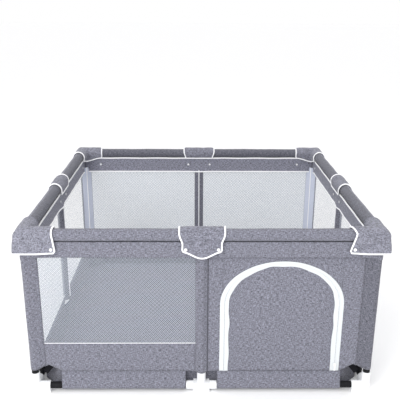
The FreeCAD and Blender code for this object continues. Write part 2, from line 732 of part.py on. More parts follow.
def build():
    corner_joints, mid_joints, skirts, tunnels = [], [], [], []
    corner_sleeves, mid_sleeves, studs, straps = [], [], [], []
    for side, corner in zip(SIDES, CORNERS):
        name, _, length, _ = side
        corner_foot(side, corner)
        mid_foot(side)
        post(f"corner_post_{corner}", side, f"-{length} / 2")
        post(f"mid_post_{name}", side, "0")
        rail_pair(f"bottom_rails_{name}", side, "dim.bottom_axis")
        rail_pair(f"top_rails_{name}", side, "dim.top_axis")
        start = f"-{length} / 2"
        corner_arms = [("X", 1), ("Y", 1)]
        corner_joints.append(top_joint(f"joint_{corner}", side, start, corner_arms))
        mid_joints.append(top_joint(f"joint_{name}", side, "0", [("X", -1), ("X", 1)]))
        padded_rolls(side)
        top_band(side)
        skirts += walls(side)
        low = "dim.corner_socket_top + dim.seam_gap"
        sleeve = flanged_sleeve(
            f"sleeve_{corner}", sleeve_height(side, low), corner_arms, "dim.corner_flange"
        )
        corner_sleeves.append(at_corner(sleeve, side, up=low))
        low = "dim.mid_socket_top + dim.seam_gap"
        sleeve = flanged_sleeve(
            f"sleeve_{name}", sleeve_height(side, low), [("X", -1), ("X", 1)], "dim.mid_flange"
        )
        mid_sleeves.append(place(sleeve, side, up=low))
        tunnels += rail_tunnels(side)
        corner_cover(side, corner)
        mid_cover(side)
        studs += snap_studs(side)
        straps += corner_straps(side)
    node("top_corner_joints", corner_joints)
    node("top_mid_joints", mid_joints)
    node("wall_skirts", skirts)
    node("corner_post_sleeves", corner_sleeves)
    node("mid_post_sleeves", mid_sleeves)
    node("rail_tunnels", tunnels)
    node("snap_studs", studs)
    node("corner_straps", straps)
    floor_sheet()
    door(SIDES[0])
    zip_slider(SIDES[0])


def check():
    """Stops if any feature failed or any sub-part isn't a sound closed shape."""
    for feature in doc.Objects:
        if "Invalid" in feature.State or "Error" in feature.State:
            raise RuntimeError(f"{feature.Name} failed: {feature.State}")
    for feature in nodes:
        shape = feature.Shape
        if shape.isNull() or not shape.isValid() or not shape.Solids:
            raise RuntimeError(f"{feature.Label} is not a valid solid")


def export():
    os.makedirs("parts", exist_ok=True)
    for feature in nodes:
        feature.Shape.exportStep(f"parts/{feature.Label}.step")


build()
doc.recompute()
check()
export()
print(len(nodes), "nodes,", sum(len(feature.Shape.Solids) for feature in nodes), "solids")
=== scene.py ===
import math

import bpy
import numpy as np
from mathutils import Matrix, Vector, noise
from mathutils.kdtree import KDTree


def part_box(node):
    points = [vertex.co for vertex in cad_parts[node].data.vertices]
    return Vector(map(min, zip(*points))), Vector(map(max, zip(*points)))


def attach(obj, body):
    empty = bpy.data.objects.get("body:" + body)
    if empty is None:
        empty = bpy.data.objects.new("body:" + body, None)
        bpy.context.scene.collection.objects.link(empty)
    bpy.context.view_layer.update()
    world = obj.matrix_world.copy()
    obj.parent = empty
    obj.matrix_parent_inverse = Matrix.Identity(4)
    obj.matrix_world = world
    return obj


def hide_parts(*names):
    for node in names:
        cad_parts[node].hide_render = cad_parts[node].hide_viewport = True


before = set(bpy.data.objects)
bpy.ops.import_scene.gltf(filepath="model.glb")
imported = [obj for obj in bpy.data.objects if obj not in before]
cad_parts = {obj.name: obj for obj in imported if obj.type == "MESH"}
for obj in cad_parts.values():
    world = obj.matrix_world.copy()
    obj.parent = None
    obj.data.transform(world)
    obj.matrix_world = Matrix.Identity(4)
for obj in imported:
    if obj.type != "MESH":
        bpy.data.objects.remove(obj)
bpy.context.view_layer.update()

# The looks of a square fabric playpen: cloth, mesh, padding, piping, zip and materials.
# A side's own frame has X along the side, Y inwards and Z up, with its origin on the floor under
# the middle of the rails. A corner's own frame is the same with its origin under the corner post.

MM = 0.001
SIDES = ("front", "right", "back", "left")
CORNERS = ("front_left", "front_right", "back_right", "back_left")
ROOT = "frame"

# ---------------------------------------------------------------- sizes read from the frame


def middle(low, high, axis):
    return (low[axis] + high[axis]) / 2


POST_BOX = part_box("corner_post_front_right")
ROLL_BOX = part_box("padded_rolls_front")
ARCH_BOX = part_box("zip_half_wall")

HALF = middle(*POST_BOX, 0)  # from the centre of the pen to the post axes
TUBE = (POST_BOX[1].x - POST_BOX[0].x) / 2
ROLL = (ROLL_BOX[1].z - ROLL_BOX[0].z) / 2
TOP = middle(*ROLL_BOX, 2)  # height of the top rails' axes
ROLL_START = HALF - ROLL_BOX[1].x  # also the gap at the middle of a side
BOTTOM = middle(*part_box("bottom_rails_front"), 2)  # height of the bottom rails' axes
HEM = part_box("wall_skirts")[0].z
BAND_HEM = {side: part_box("top_band_" + side)[0].z for side in SIDES}
SKIRT_TOP = {side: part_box("mesh_wall_" + side)[0].z for side in SIDES}
CORNER_SLEEVE_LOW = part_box("corner_post_sleeves")[0].z
MID_SLEEVE_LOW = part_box("mid_post_sleeves")[0].z
MID_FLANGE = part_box("door_surround")[0].x
CORNER_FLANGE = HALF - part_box("door_surround")[1].x
TUNNEL_MID = MID_FLANGE + 35 * MM
TUNNEL_CORNER = 97 * MM
ARCH_X = middle(*ARCH_BOX, 0)
ARCH_HALF = (ARCH_BOX[1].x - ARCH_BOX[0].x) / 2
ARCH_TOP = ARCH_BOX[1].z
ARCH_SPRING = 356 * MM
ARCH_LOW = ARCH_BOX[0].z

CLOTH = 1.2 * MM
PIPING = 2.7 * MM  # radius

# ---------------------------------------------------------------- node graphs


class Graph:
    """A short way to write a material's nodes."""

    def __init__(self, name):
        self.material = bpy.data.materials.new(name)
        self.material.use_nodes = True
        self.tree = self.material.node_tree
        self.shader = self.tree.nodes["Principled BSDF"]
        self.output = self.tree.nodes["Material Output"]

    def node(self, kind, inputs=(), **settings):
        made = self.tree.nodes.new("ShaderNode" + kind)
        for key, value in settings.items():
            setattr(made, key, value)
        for key, value in dict(inputs).items():
            if isinstance(value, bpy.types.NodeSocket):
                self.tree.links.new(value, made.inputs[key])
            else:
                made.inputs[key].default_value = value
        return made

    def math(self, operation, first, second=0.0):
        return self.node("Math", {0: first, 1: second}, operation=operation).outputs[0]

    def coordinates(self, flat, scale):
        """The cloth's own coordinates in metres, or the object's, times a scale for each axis."""
        if flat:
            source = self.node("UVMap", uv_map="cloth").outputs["UV"]
        else:
            source = self.node("TexCoord").outputs["Object"]
        return self.node("Mapping", {"Vector": source, "Scale": scale}).outputs["Vector"]

    def noise(self, vector, scale=1.0, detail=2.0, rough=0.5):
        inputs = {"Vector": vector, "Scale": scale, "Detail": detail, "Roughness": rough}
        return self.node("TexNoise", inputs).outputs["Fac"]

    def ramp(self, value, stops):
        made = self.node("ValToRGB", {"Fac": value})
        elements = made.color_ramp.elements
        elements[0].position, elements[0].color = stops[0][0], (*stops[0][1], 1)
        elements[1].position, elements[1].color = stops[-1][0], (*stops[-1][1], 1)
        for place, colour in stops[1:-1]:
            elements.new(place).color = (*colour, 1)
        return made.outputs["Color"]

    def blend(self, parts):
        """The weighted sum of (value, weight) pairs."""
        total = None
        for value, weight in parts:
            piece = self.math("MULTIPLY", value, weight)
            total = piece if total is None else self.math("ADD", total, piece)
        return total

    def bump(self, height, depth, strength=1.0):
        inputs = {"Height": height, "Distance": depth, "Strength": strength}
        made = self.node("Bump", inputs).outputs["Normal"]
        self.set("Normal", made)

    def set(self, name, value):
        if isinstance(value, bpy.types.NodeSocket):
            self.tree.links.new(value, self.shader.inputs[name])
        else:
            self.shader.inputs[name].default_value = value

    def weave(self, coords, pitch):
        """A plain weave's height: threads going over and under each other."""
        split = self.node("SeparateXYZ", {"Vector": coords})
        waves = []
        for axis in (0, 1):
            turns = self.math("MULTIPLY", split.outputs[axis], 2 * math.pi / pitch)
            waves.append(self.math("SINE", turns))
        return self.math("MULTIPLY", *waves)


def tinted(colour, factor):
    return tuple(min(1.0, channel * factor) for channel in colour)


def heather(name, colour, contrast=0.8, flat=True, pitch=1.5 * MM):
    """Woven cloth of mixed light and dark gray threads, with slubs both ways."""
    g = Graph(name)
    metre = g.coordinates(flat, (1, 1, 1))
    if flat:
        along = g.noise(g.coordinates(True, (85, 560, 1)), detail=4, rough=0.6)
        across = g.noise(g.coordinates(True, (560, 85, 1)), detail=4, rough=0.6)
    else:
        along = g.noise(g.coordinates(False, (110, 110, 560)), detail=4, rough=0.6)
        across = g.noise(g.coordinates(False, (400, 400, 110)), detail=4, rough=0.6)
    grain = g.noise(metre, 800, 1)
    cloud = g.noise(metre, 210, 3, 0.6)
    mix = g.blend([(along, 0.4), (across, 0.3), (grain, 0.16), (cloud, 0.14)])
    dark, light = tinted(colour, 1 - contrast), tinted(colour, 1 + contrast)
    g.set("Base Color", g.ramp(mix, [(0.41, dark), (0.5, colour), (0.59, light)]))
    threads = g.weave(metre, pitch)
    g.bump(g.blend([(threads, 0.5), (mix, 1.0)]), 0.5 * MM, 0.7)
    rough = g.node("MapRange", {"Value": mix, "To Min": 0.82, "To Max": 0.96})
    g.set("Roughness", rough.outputs["Result"])
    g.set("Sheen Weight", 0.15)
    g.set("Sheen Roughness", 0.5)
    g.set("Specular IOR Level", 0.25)
    return g.material


def net(name, colour, closed=0.0, pitch=7.2 * MM):
    """Knitted mesh: threads round staggered holes, with every second row drawn a little tighter."""
    g = Graph(name)
    cloth = g.coordinates(True, (1, 1, 1))
    split = g.node("SeparateXYZ", {"Vector": cloth})
    across, up = split.outputs[0], split.outputs[1]
    waves = []
    for way in (1.0, -1.0):
        slant = g.math("ADD", across, g.math("MULTIPLY", up, way))
        turns = g.math("MULTIPLY", slant, 2 * math.pi / pitch)
        waves.append(g.math("COSINE", turns))
    holes = g.math("ADD", *waves)
    rows = g.math("COSINE", g.math("MULTIPLY", up, math.pi / pitch))
    columns = g.math("COSINE", g.math("MULTIPLY", across, math.pi / pitch))
    tight = g.math("MULTIPLY", g.math("MULTIPLY", rows, columns), 0.5)
    shape = g.math("ADD", holes, tight)
    cover = g.node(
        "MapRange",
        {"Value": shape, "From Min": closed - 0.3, "From Max": closed + 0.15, "To Min": 1.0, "To Max": 0.0},
        interpolation_type="SMOOTHSTEP",
    ).outputs["Result"]
    g.set("Base Color", (*colour, 1))
    g.set("Roughness", 0.75)
    g.set("Alpha", cover)
    g.set("Sheen Weight", 0.1)
    g.bump(shape, 0.3 * MM, 0.4)
    return g.material


def piping_cloth(name, colour):
    """Bias-cut cord cloth with a fine diagonal twill."""
    g = Graph(name)
    near = g.coordinates(False, (1, 1, 1))
    split = g.node("SeparateXYZ", {"Vector": near})
    total = g.math("ADD", g.math("ADD", split.outputs[0], split.outputs[1]), split.outputs[2])
    twill = g.math("SINE", g.math("MULTIPLY", total, 2 * math.pi / (1.3 * MM)))
    grain = g.noise(near, 500, 2)
    g.set("Base Color", g.ramp(grain, [(0.3, tinted(colour, 0.93)), (0.7, colour)]))
    g.set("Emission Color", (0.95, 0.97, 1, 1))
    g.set("Emission Strength", 0.12)  # painted light: a faint glow keeps the white piping bright where it is in shade
    g.bump(g.blend([(twill, 0.5), (grain, 0.6)]), 0.25 * MM, 0.6)
    g.set("Roughness", 0.7)
    g.set("Sheen Weight", 0.15)
    return g.material


def tape_cloth(name, colour):
    """Zip tape: a close herringbone."""
    g = Graph(name)
    cloth = g.coordinates(True, (1, 1, 1))
    split = g.node("SeparateXYZ", {"Vector": cloth})
    zigzag = g.math("PINGPONG", split.outputs[1], 2.4 * MM)
    slant = g.math("ADD", split.outputs[0], zigzag)
    rib = g.math("SINE", g.math("MULTIPLY", slant, 2 * math.pi / (1.1 * MM)))
    grain = g.noise(cloth, 700, 2)
    g.set("Base Color", g.ramp(grain, [(0.3, tinted(colour, 0.94)), (0.7, colour)]))
    g.bump(g.blend([(rib, 0.6), (grain, 0.4)]), 0.2 * MM, 0.6)
    g.set("Roughness", 0.75)
    return g.material


def plastic(name, colour, rough=0.38):
    """Moulded plastic with a faint grain and rubbed lighter patches."""
    g = Graph(name)
    near = g.coordinates(False, (1, 1, 1))
    grain = g.noise(near, 1400, 2)
    patches = g.noise(near, 35, 3)
    g.set("Base Color", g.ramp(patches, [(0.35, tinted(colour, 0.96)), (0.65, colour)]))
    g.bump(grain, 0.08 * MM, 0.35)
    level = {"Value": patches, "To Min": rough - 0.06, "To Max": rough + 0.1}
    g.set("Roughness", g.node("MapRange", level).outputs["Result"])
    return g.material


def powder_coat(name, colour):
    """Black powder coat: fine orange peel, rubbed a little grayer in places."""
    g = Graph(name)
    near = g.coordinates(False, (1, 1, 1))
    peel = g.noise(near, 900, 1)
    rubbed = g.noise(near, 60, 4, 0.7)
    g.set("Base Color", g.ramp(rubbed, [(0.55, colour), (0.75, tinted(colour, 2.4))]))
    g.bump(peel, 0.15 * MM, 0.4)
    g.set("Roughness", 0.5)
    g.set("Specular IOR Level", 0.08)
    return g.material


def webbing(name, colour):
    """Woven strap with ribs across it."""
    g = Graph(name)
    cloth = g.coordinates(True, (1, 1, 1))
    split = g.node("SeparateXYZ", {"Vector": cloth})
    ribs = g.math("SINE", g.math("MULTIPLY", split.outputs[0], 2 * math.pi / (1.8 * MM)))
    grain = g.noise(cloth, 600, 2)
    g.set("Base Color", g.ramp(grain, [(0.3, colour), (0.7, tinted(colour, 1.8))]))
    g.bump(g.blend([(ribs, 0.8), (grain, 0.4)]), 0.3 * MM, 0.8)
    g.set("Specular IOR Level", 0.04)
    g.set("Roughness", 0.8)
    return g.material


GRAY = (0.188, 0.19, 0.232)
LIGHT_GRAY = (0.212, 0.214, 0.258)
WHITE = (0.86, 0.87, 0.89)

CLOTH_GRAY = heather("gray_cloth", GRAY)
ROLL_GRAY = heather("roll_cloth", tinted(GRAY, 0.97))
# a darker copy of the roll cloth: painted shade for the rolls' inner sides
ROLL_SHADED = heather("roll_inner_painted_shade", tinted(GRAY, 0.66))
# a lighter copy of the gray cloth: painted light on the bands inside the pen
INNER_BAND_LIT = heather("inner_band_painted_light", tinted(GRAY, 1.3))
LINING = heather("lining_cloth", (0.66, 0.7, 0.82), 0.08)
SLEEVE_GRAY = heather("sleeve_cloth", tinted(GRAY, 0.94))
# a darker copy of the sleeve cloth: painted shade for the corner away from the key light
SLEEVE_SHADED = heather("sleeve_painted_shade", tinted(GRAY, 0.72))
# a very dark copy of the gray cloth: painted shade for the crease beside each mid post
SEAM_SHADE = heather("seam_painted_shade", tinted(GRAY, 0.4))
COVER_GRAY = heather("cover_cloth", LIGHT_GRAY, 0.66, flat=False)
MID_COVER_GRAY = heather("mid_cover_cloth", tinted(GRAY, 1.0), 0.72, flat=False)
FLOOR_GRAY = heather("floor_cloth", tinted(GRAY, 0.72))
NET = net("white_net", (0.44, 0.475, 0.54), closed=-0.22)
# a darker, denser copy of the net: painted shade for the back wall
BACK_NET_SHADED = net("white_net_back_painted_shade", (0.42, 0.47, 0.54), closed=0.35)
# white piping cloth with a faint painted glow
PIPING_WHITE = piping_cloth("piping_white_painted_glow", (0.9, 0.9, 0.92))
TAPE_WHITE = tape_cloth("zip_tape_white", (0.7, 0.73, 0.75))
PLASTIC_WHITE = plastic("white_plastic", WHITE)
SNAP_WHITE = plastic("snap_white", (0.88, 0.88, 0.9), 0.25)
SLIDER_WHITE = plastic("slider_enamel", (0.85, 0.86, 0.87), 0.3)
BLACK_STEEL = powder_coat("black_powder_coat", (0.013, 0.013, 0.015))
BLACK_WEB = webbing("black_webbing", (0.009, 0.009, 0.011))

# ---------------------------------------------------------------- mesh building


def side_matrix(side):
    turn = Matrix.Rotation(math.radians(90 * SIDES.index(side)), 4, "Z")
    return turn @ Matrix.Translation((0, -HALF, 0))


def corner_matrix(corner):
    return side_matrix(SIDES[CORNERS.index(corner)]) @ Matrix.Translation((-HALF, 0, 0))


def lengths(points, axis):
    """Running length of a grid of points along one axis, averaged over the other."""
    steps = np.linalg.norm(np.diff(points, axis=axis), axis=2).mean(axis=1 - axis)
    return np.concatenate([[0.0], np.cumsum(steps)])


def grid_of(x, y, z):
    """A grid of points from three coordinates, each a number, a row, a column or a whole grid."""
    return np.stack(np.broadcast_arrays(x, y, z), axis=-1).astype(float)


def lathe(outline, steps):
    """A shape turned round the Z axis, from (radius, height) pairs in millimetres."""
    radius, height = np.array(outline)[:, :1] * MM, np.array(outline)[:, 1:] * MM
    turn = np.linspace(0, 2 * math.pi, steps)
    return grid_of(radius * np.cos(turn), radius * np.sin(turn), height)


def half_name(kind, side, way):
    return f"{kind}_{side}_{'first' if way < 0 else 'second'}"


def skin(name, points, matrix=Matrix(), start=(0.0, 0.0), flip=False):
    """A mesh through a grid of points, rows x columns x 3, with its UVs in metres."""
    points = np.asarray(points, float)
    rows, columns = points.shape[:2]
    down, along = lengths(points, 0) + start[1], lengths(points, 1) + start[0]
    mesh = bpy.data.meshes.new(name)
    faces = [
        (r * columns + c, r * columns + c + 1, (r + 1) * columns + c + 1, (r + 1) * columns + c)
        for r in range(rows - 1)
        for c in range(columns - 1)
    ]
    mesh.from_pydata(points.reshape(-1, 3).tolist(), [], faces)
    layer = mesh.uv_layers.new(name="cloth")
    for loop in mesh.loops:
        r, c = divmod(loop.vertex_index, columns)
        layer.data[loop.index].uv = (along[c], down[r])
    mesh.transform(matrix)
    if flip:
        mesh.flip_normals()
    mesh.polygons.foreach_set("use_smooth", [True] * len(mesh.polygons))
    made = bpy.data.objects.new(name, mesh)
    bpy.context.scene.collection.objects.link(made)
    return made


def thicken(piece, thickness, offset=0.0):
    solid = piece.modifiers.new("thickness", "SOLIDIFY")
    solid.thickness = thickness
    solid.offset = offset
    return piece


def joined(name, pieces):
    """Several meshes as one object."""
    with bpy.context.temp_override(
        active_object=pieces[0], selected_editable_objects=pieces, selected_objects=pieces
    ):
        bpy.ops.object.join()
    pieces[0].name = name
    return pieces[0]


def finish_piece(piece, material, body, nodes=()):
    """Gives a piece its material, the body that it rides on and the nodes it stands for."""
    piece.data.materials.clear()
    piece.data.materials.append(material)
    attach(piece, body)
    if nodes:
        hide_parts(*nodes)
    return piece


def smooth(value):
    value = np.clip(value, 0.0, 1.0)
    return value * value * (3 - 2 * value)


def wrinkles(points, size, height, seed):
    """Soft random heights for a grid of points."""
    shift = Vector((seed * 3.7, seed * 1.3, seed * 7.1))
    flat = points.reshape(-1, 3)
    values = [noise.noise(Vector(p) / size + shift) for p in flat]
    return height * np.array(values).reshape(points.shape[:2])


def grid_normals(points):
    """A unit normal at each point of a grid."""
    down = np.gradient(points, axis=0)
    along = np.gradient(points, axis=1)
    cross = np.cross(along, down)
    size = np.linalg.norm(cross, axis=2, keepdims=True)
    return cross / np.maximum(size, 1e-12)


def cord_pieces(name, paths, matrix=Matrix(), radius=PIPING, closed=False):
    """Piping: one curve object with a round section along each path of points."""
    curve = bpy.data.curves.new(name, "CURVE")
    curve.dimensions = "3D"
    curve.bevel_depth = radius
    curve.bevel_resolution = 3
    curve.use_fill_caps = True
    for path in paths:
        line = curve.splines.new("POLY")
        line.points.add(len(path) - 1)
        for spot, point in zip(line.points, path):
            spot.co = (*(matrix @ Vector(point)), 1)
        line.use_cyclic_u = closed
        line.use_smooth = True
    made = bpy.data.objects.new(name, curve)
    bpy.context.scene.collection.objects.link(made)
    return made


# ---------------------------------------------------------------- swelling padded pieces

FRAMES = 20
PRESSURE = 4.0
VOXEL = 3.2 * MM
SWELL_CAP = 6 * MM  # how far the simulation may move a point


def evaluated(piece):
    """The piece's mesh with its modifiers applied, in place of the one that it had."""
    graph = bpy.context.evaluated_depsgraph_get()
    mesh = bpy.data.meshes.new_from_object(piece.evaluated_get(graph))
    piece.modifiers.clear()
    piece.data = mesh
    return piece


def coordinates_of(mesh):
    flat = np.zeros(len(mesh.vertices) * 3)
    mesh.vertices.foreach_get("co", flat)
    return flat.reshape(-1, 3)


def tree_of(points):
    tree = KDTree(len(points))
    for index, point in enumerate(points):
        tree.insert(point, index)
    tree.balance()
    return tree


def swell(piece, voxel, cap, held):
    """Remeshes a padded piece and blows it up a little as cloth. held(point) says which points stay."""
    remesh = piece.modifiers.new("remesh", "REMESH")
    remesh.mode = "VOXEL"
    remesh.voxel_size = voxel
    evaluated(piece)
    before = coordinates_of(piece.data)
    still = piece.vertex_groups.new(name="still")
    still.add([index for index, point in enumerate(before) if held(point)], 1.0, "REPLACE")
    cloth = piece.modifiers.new("cloth", "CLOTH")
    settings = cloth.settings
    settings.vertex_group_mass = "still"
    settings.quality = 4
    settings.mass = 0.15
    settings.tension_stiffness = settings.compression_stiffness = 12
    settings.shear_stiffness = 4
    settings.bending_stiffness = 0.2
    settings.use_pressure = True
    settings.uniform_pressure_force = PRESSURE
    settings.effector_weights.gravity = 0
    cloth.collision_settings.use_collision = False
    cloth.point_cache.frame_end = FRAMES
    for frame_number in range(1, FRAMES + 1):
        bpy.context.scene.frame_set(frame_number)
    graph = bpy.context.evaluated_depsgraph_get()
    after = coordinates_of(piece.evaluated_get(graph).data)
    bpy.context.scene.frame_set(1)
    piece.modifiers.clear()
    piece.vertex_groups.clear()
    moved = after - before
    far = np.linalg.norm(moved, axis=1, keepdims=True)
    placed = before + moved * np.minimum(1, cap / np.maximum(far, 1e-9))
    piece.data.vertices.foreach_set("co", placed.ravel())
    piece.data.polygons.foreach_set("use_smooth", [True] * len(piece.data.polygons))
    finer = piece.modifiers.new("finer", "SUBSURF")
    finer.levels = finer.render_levels = 1
    return evaluated(piece)


def swell_cover(piece, outside, edge, snaps, folds, matrix):
    """A cover swells outwards between its piping, snaps and folds, then its folds are pressed in."""
    skin_tree = tree_of([matrix @ Vector(p) for p in outside.reshape(-1, 3)])
    edge_tree = tree_of([matrix @ Vector(p) for p in edge])
    snap_tree = tree_of([matrix @ Vector(p) for p in snaps])
    steps = np.linspace(0, 1, 30)
    along = [matrix @ Vector(a).lerp(Vector(b), s) for a, b, _, _ in folds for s in steps]
    fold_tree = tree_of(along)

    def held(point):
        inside = skin_tree.find(point)[2] > 2.6 * MM
        edged = edge_tree.find(point)[2] < 5 * MM or snap_tree.find(point)[2] < 9 * MM
        return inside or edged or fold_tree.find(point)[2] < 5 * MM

    piece = swell(piece, VOXEL, SWELL_CAP, held)
    before = coordinates_of(piece.data)
    normals = np.zeros(before.size)
    piece.data.vertex_normals.foreach_get("vector", normals)
    lines = [(matrix @ Vector(a), matrix @ Vector(b), depth, width) for a, b, depth, width in folds]
    dents = creases(before[None], lines)[0]
    placed = before - normals.reshape(-1, 3) * dents[:, None]
    piece.data.vertices.foreach_set("co", placed.ravel())
    piece.data.update()
    return piece


# ---------------------------------------------------------------- padded rolls

SEAM_ANGLE = math.radians(-54)  # where the roll's cloth is gathered into the band, from level
SEAM_V = 15.5 * MM  # how far from the rails' plane the two seams under the roll are
SEAM_DROP = 21.5 * MM
ROLL_SHADE_END = 100  # degrees up from level inside, where the painted shade on the roll's inner side ends


def roll_radius(angle):
    """The roll's radius round its section: round, and drawn down a little to both seams."""
    radius = np.full_like(angle, ROLL - 0.6 * MM)
    for seam in (SEAM_ANGLE, math.pi - SEAM_ANGLE):
        apart = np.angle(np.exp(1j * (angle - seam)))
        radius = radius - 0.5 * MM * np.exp(-((apart / 0.2) ** 2))
    return radius


def padded_roll(side, way):
    """One half side's roll, closed round the rail at both ends."""
    name = half_name("roll", side, way)
    rows, columns = 49, 112
    along = np.linspace(ROLL_START, HALF - ROLL_START, columns)
    end = np.minimum(along - along[0], along[-1] - along)
    rounding = np.sqrt(1 - (1 - np.clip(end / (14 * MM), 0, 1)) ** 2)
    angle = np.linspace(0, 2 * math.pi, rows)
    radius = roll_radius(angle)[:, None]
    inner = TUBE + 0.4 * MM
    radius = inner + (radius - inner) * rounding[None, :]
    points = grid_of(way * along, radius * np.cos(angle)[:, None], TOP + radius * np.sin(angle)[:, None])
    seed = SIDES.index(side) * 2 + way
    dents = wrinkles(points * np.array([1, 2.2, 2.2]), 70 * MM, 1.1 * MM, seed)
    dents += wrinkles(points * np.array([1, 0.7, 0.7]), 17 * MM, 0.35 * MM, seed + 20)
    dents[-1] = dents[0]
    facing = np.stack(np.broadcast_arrays(0, np.cos(angle)[:, None], np.sin(angle)[:, None]), -1)
    points += facing * (dents * rounding[None, :])[:, :, None]
    piece = skin(name, points, side_matrix(side), flip=way > 0)
    finish_piece(piece, ROLL_GRAY, ROOT, ["padded_rolls_" + side])
    # painted shade: the roll's inner side, from its inner seam to just over the top, gets the darker copy
    # of its cloth
    piece.data.materials.append(ROLL_SHADED)
    for polygon in piece.data.polygons:
        turned = (polygon.index // (columns - 1) + 0.5) * 360 / (rows - 1)
        if turned < ROLL_SHADE_END or turned > 360 + math.degrees(SEAM_ANGLE):
            polygon.material_index = 1


# ---------------------------------------------------------------- bands and their piping

BAND_TOP = TOP - SEAM_DROP + 1.5 * MM
CORNER_HEM = (BAND_HEM["front"] + BAND_HEM["left"]) / 2


def band_path(layer, columns):
    """Points along a band from end to end: the outer one ends halfway round each corner post."""
    if layer > 0:
        reach = HALF - SEAM_V
        return [(u, SEAM_V) for u in np.linspace(-reach, reach, columns)]
    turn = np.radians(np.linspace(45, 5, 8))
    arc = [(HALF + SEAM_V * math.sin(a), -SEAM_V * math.cos(a)) for a in turn]
    straight = [(u, -SEAM_V) for u in np.linspace(-HALF, HALF, columns)]
    return [(-u, v) for u, v in arc] + straight + arc[::-1]


def post_near(u, width=55 * MM):
    """1 at a post and 0 away from it."""
    apart = np.minimum(np.abs(u), np.abs(HALF - np.abs(u)))
    return 1 - smooth(apart / width)


def top_band(side, layer):
    name = f"band_{side}_{'outer' if layer < 0 else 'inner'}"
    path = np.array(band_path(layer, 160))
    rows = 12
    drop = np.linspace(0, 1, rows)[:, None]
    u, v = path[:, 0][None, :], path[:, 1][None, :]
    hem = np.full_like(u, BAND_HEM[side])
    if layer < 0:
        hem = hem + (CORNER_HEM - hem) * smooth((np.abs(u) - HALF + 12 * MM) / (16 * MM))
    draw = smooth(drop) * (1 - post_near(u)) * 7 * MM
    points = grid_of(u, v - layer * draw, BAND_TOP + (hem - BAND_TOP) * drop)
    seed = 40 + SIDES.index(side) * 2 + layer
    waves = wrinkles(points * np.array([1, 1, 0.5]), 60 * MM, 2.2 * MM, seed)
    fine = wrinkles(points, 16 * MM, 0.5 * MM, seed + 9)
    points[:, :, 1] += (waves + fine) * smooth(drop) * (1 - 0.8 * post_near(u))
    piece = thicken(skin(name, points, side_matrix(side)), CLOTH)
    # painted light: the inner band gets the lighter copy of the gray cloth
    material = CLOTH_GRAY if layer < 0 else INNER_BAND_LIT
    finish_piece(piece, material, ROOT, ["top_band_" + side])
    return points[-1]


def band_piping(side, inner_hem):
    """White piping in the seam under the roll's inner side and along the inner hem."""
    reach = HALF - SEAM_V - 4 * MM
    seam = [
        (u, SEAM_V + 1.6 * MM, TOP - SEAM_DROP - 1.0 * MM + 0.5 * MM * math.sin(u * 37))
        for u in np.linspace(-reach, reach, 90)
    ]
    hem = [tuple(p) for p in inner_hem[2:-2]]
    piece = cord_pieces("band_piping_" + side, [seam, hem], side_matrix(side), 3.4 * MM)
    finish_piece(piece, PIPING_WHITE, ROOT)


# ---------------------------------------------------------------- walls

NOTCH_APEX = (51 * MM, 112 * MM)  # along from the corner post, and up
NOTCH_FOOT = (101 * MM, 80 * MM)


def wall_grid(low, high, start, end, rows, columns, bulge, seed, pinned=True):
    """A flat wall between two heights, slightly slack. low may be a function of the place along."""
    u = np.linspace(start, end, columns)[None, :]
    foot = np.array([[low(x) for x in u[0]]]) if callable(low) else np.full_like(u, low)
    share = np.linspace(0, 1, rows)[:, None]
    points = grid_of(u, 0.0, foot + (high - foot) * share)
    waves = wrinkles(points, 130 * MM, bulge, seed)
    edge = np.minimum(np.minimum(share, 1 - share) * 6, 1)
    sides = np.minimum(np.minimum(u - start, end - u) / (40 * MM), 1)
    fade = np.clip(edge, 0, 1) * np.clip(sides, 0, 1) if pinned else 1.0
    points[:, :, 1] = waves * fade
    return points


def half_span(way):
    """Where a half wall starts and ends along its side."""
    inner, outer = MID_FLANGE, HALF - CORNER_FLANGE
    return (inner, outer) if way > 0 else (-outer, -inner)


def notch_height(along):
    """The wall's lower edge: level, but rising to a point near the corner posts."""
    from_post = HALF - abs(along)
    if from_post >= NOTCH_FOOT[0]:
        return HEM
    share = (NOTCH_FOOT[0] - from_post) / (NOTCH_FOOT[0] - NOTCH_APEX[0])
    if share > 1:
        return NOTCH_APEX[1] - (NOTCH_APEX[0] - from_post) * 0.8
    return HEM + (NOTCH_APEX[1] - HEM) * share


def mesh_walls(side):
    """The mesh panels of a side, as one piece."""
    ways = (-1,) if side == "front" else (-1, 1)
    panels, area = [], 0.0
    top = BAND_HEM[side] + 12 * MM
    for way in ways:
        start, end = half_span(way)
        seed = 80 + SIDES.index(side) * 2 + way
        grid = wall_grid(SKIRT_TOP[side], top, start, end, 14, 26, 3 * MM, seed)
        panels.append(skin(f"net_{side}_{way}", grid, side_matrix(side), (start, SKIRT_TOP[side])))
        area += (end - start) * (top - SKIRT_TOP[side])
    piece = joined("net_" + side, panels) if len(panels) > 1 else panels[0]
    piece.name = "net_" + side
    # painted shade: the back wall gets the darker, denser copy of the net
    material = BACK_NET_SHADED if side == "back" else NET
    finish_piece(piece, material, ROOT, ["mesh_wall_" + side])


def skirts(side):
    """The gray cloth under a side's mesh, with its seam line along the top."""
    ways = (-1,) if side == "front" else (-1, 1)
    for way in ways:
        start, end = half_span(way)
        top = SKIRT_TOP[side]
        seed = 110 + SIDES.index(side) * 2 + way
        grid = wall_grid(notch_height, top, start, end, 14, 90, 2.4 * MM, seed)
        name = half_name("skirt", side, way)
        piece = thicken(skin(name, grid, side_matrix(side), (start, HEM)), CLOTH)
        finish_piece(piece, CLOTH_GRAY, ROOT, ["wall_skirts"])
        line = [(u, -1.0 * MM, top) for u in np.linspace(start, end, 30)]
        edge = cord_pieces(f"skirt_edge_{side}_{1 + (way > 0)}", [line], side_matrix(side), 1.1 * MM)
        finish_piece(edge, PIPING_WHITE, ROOT)


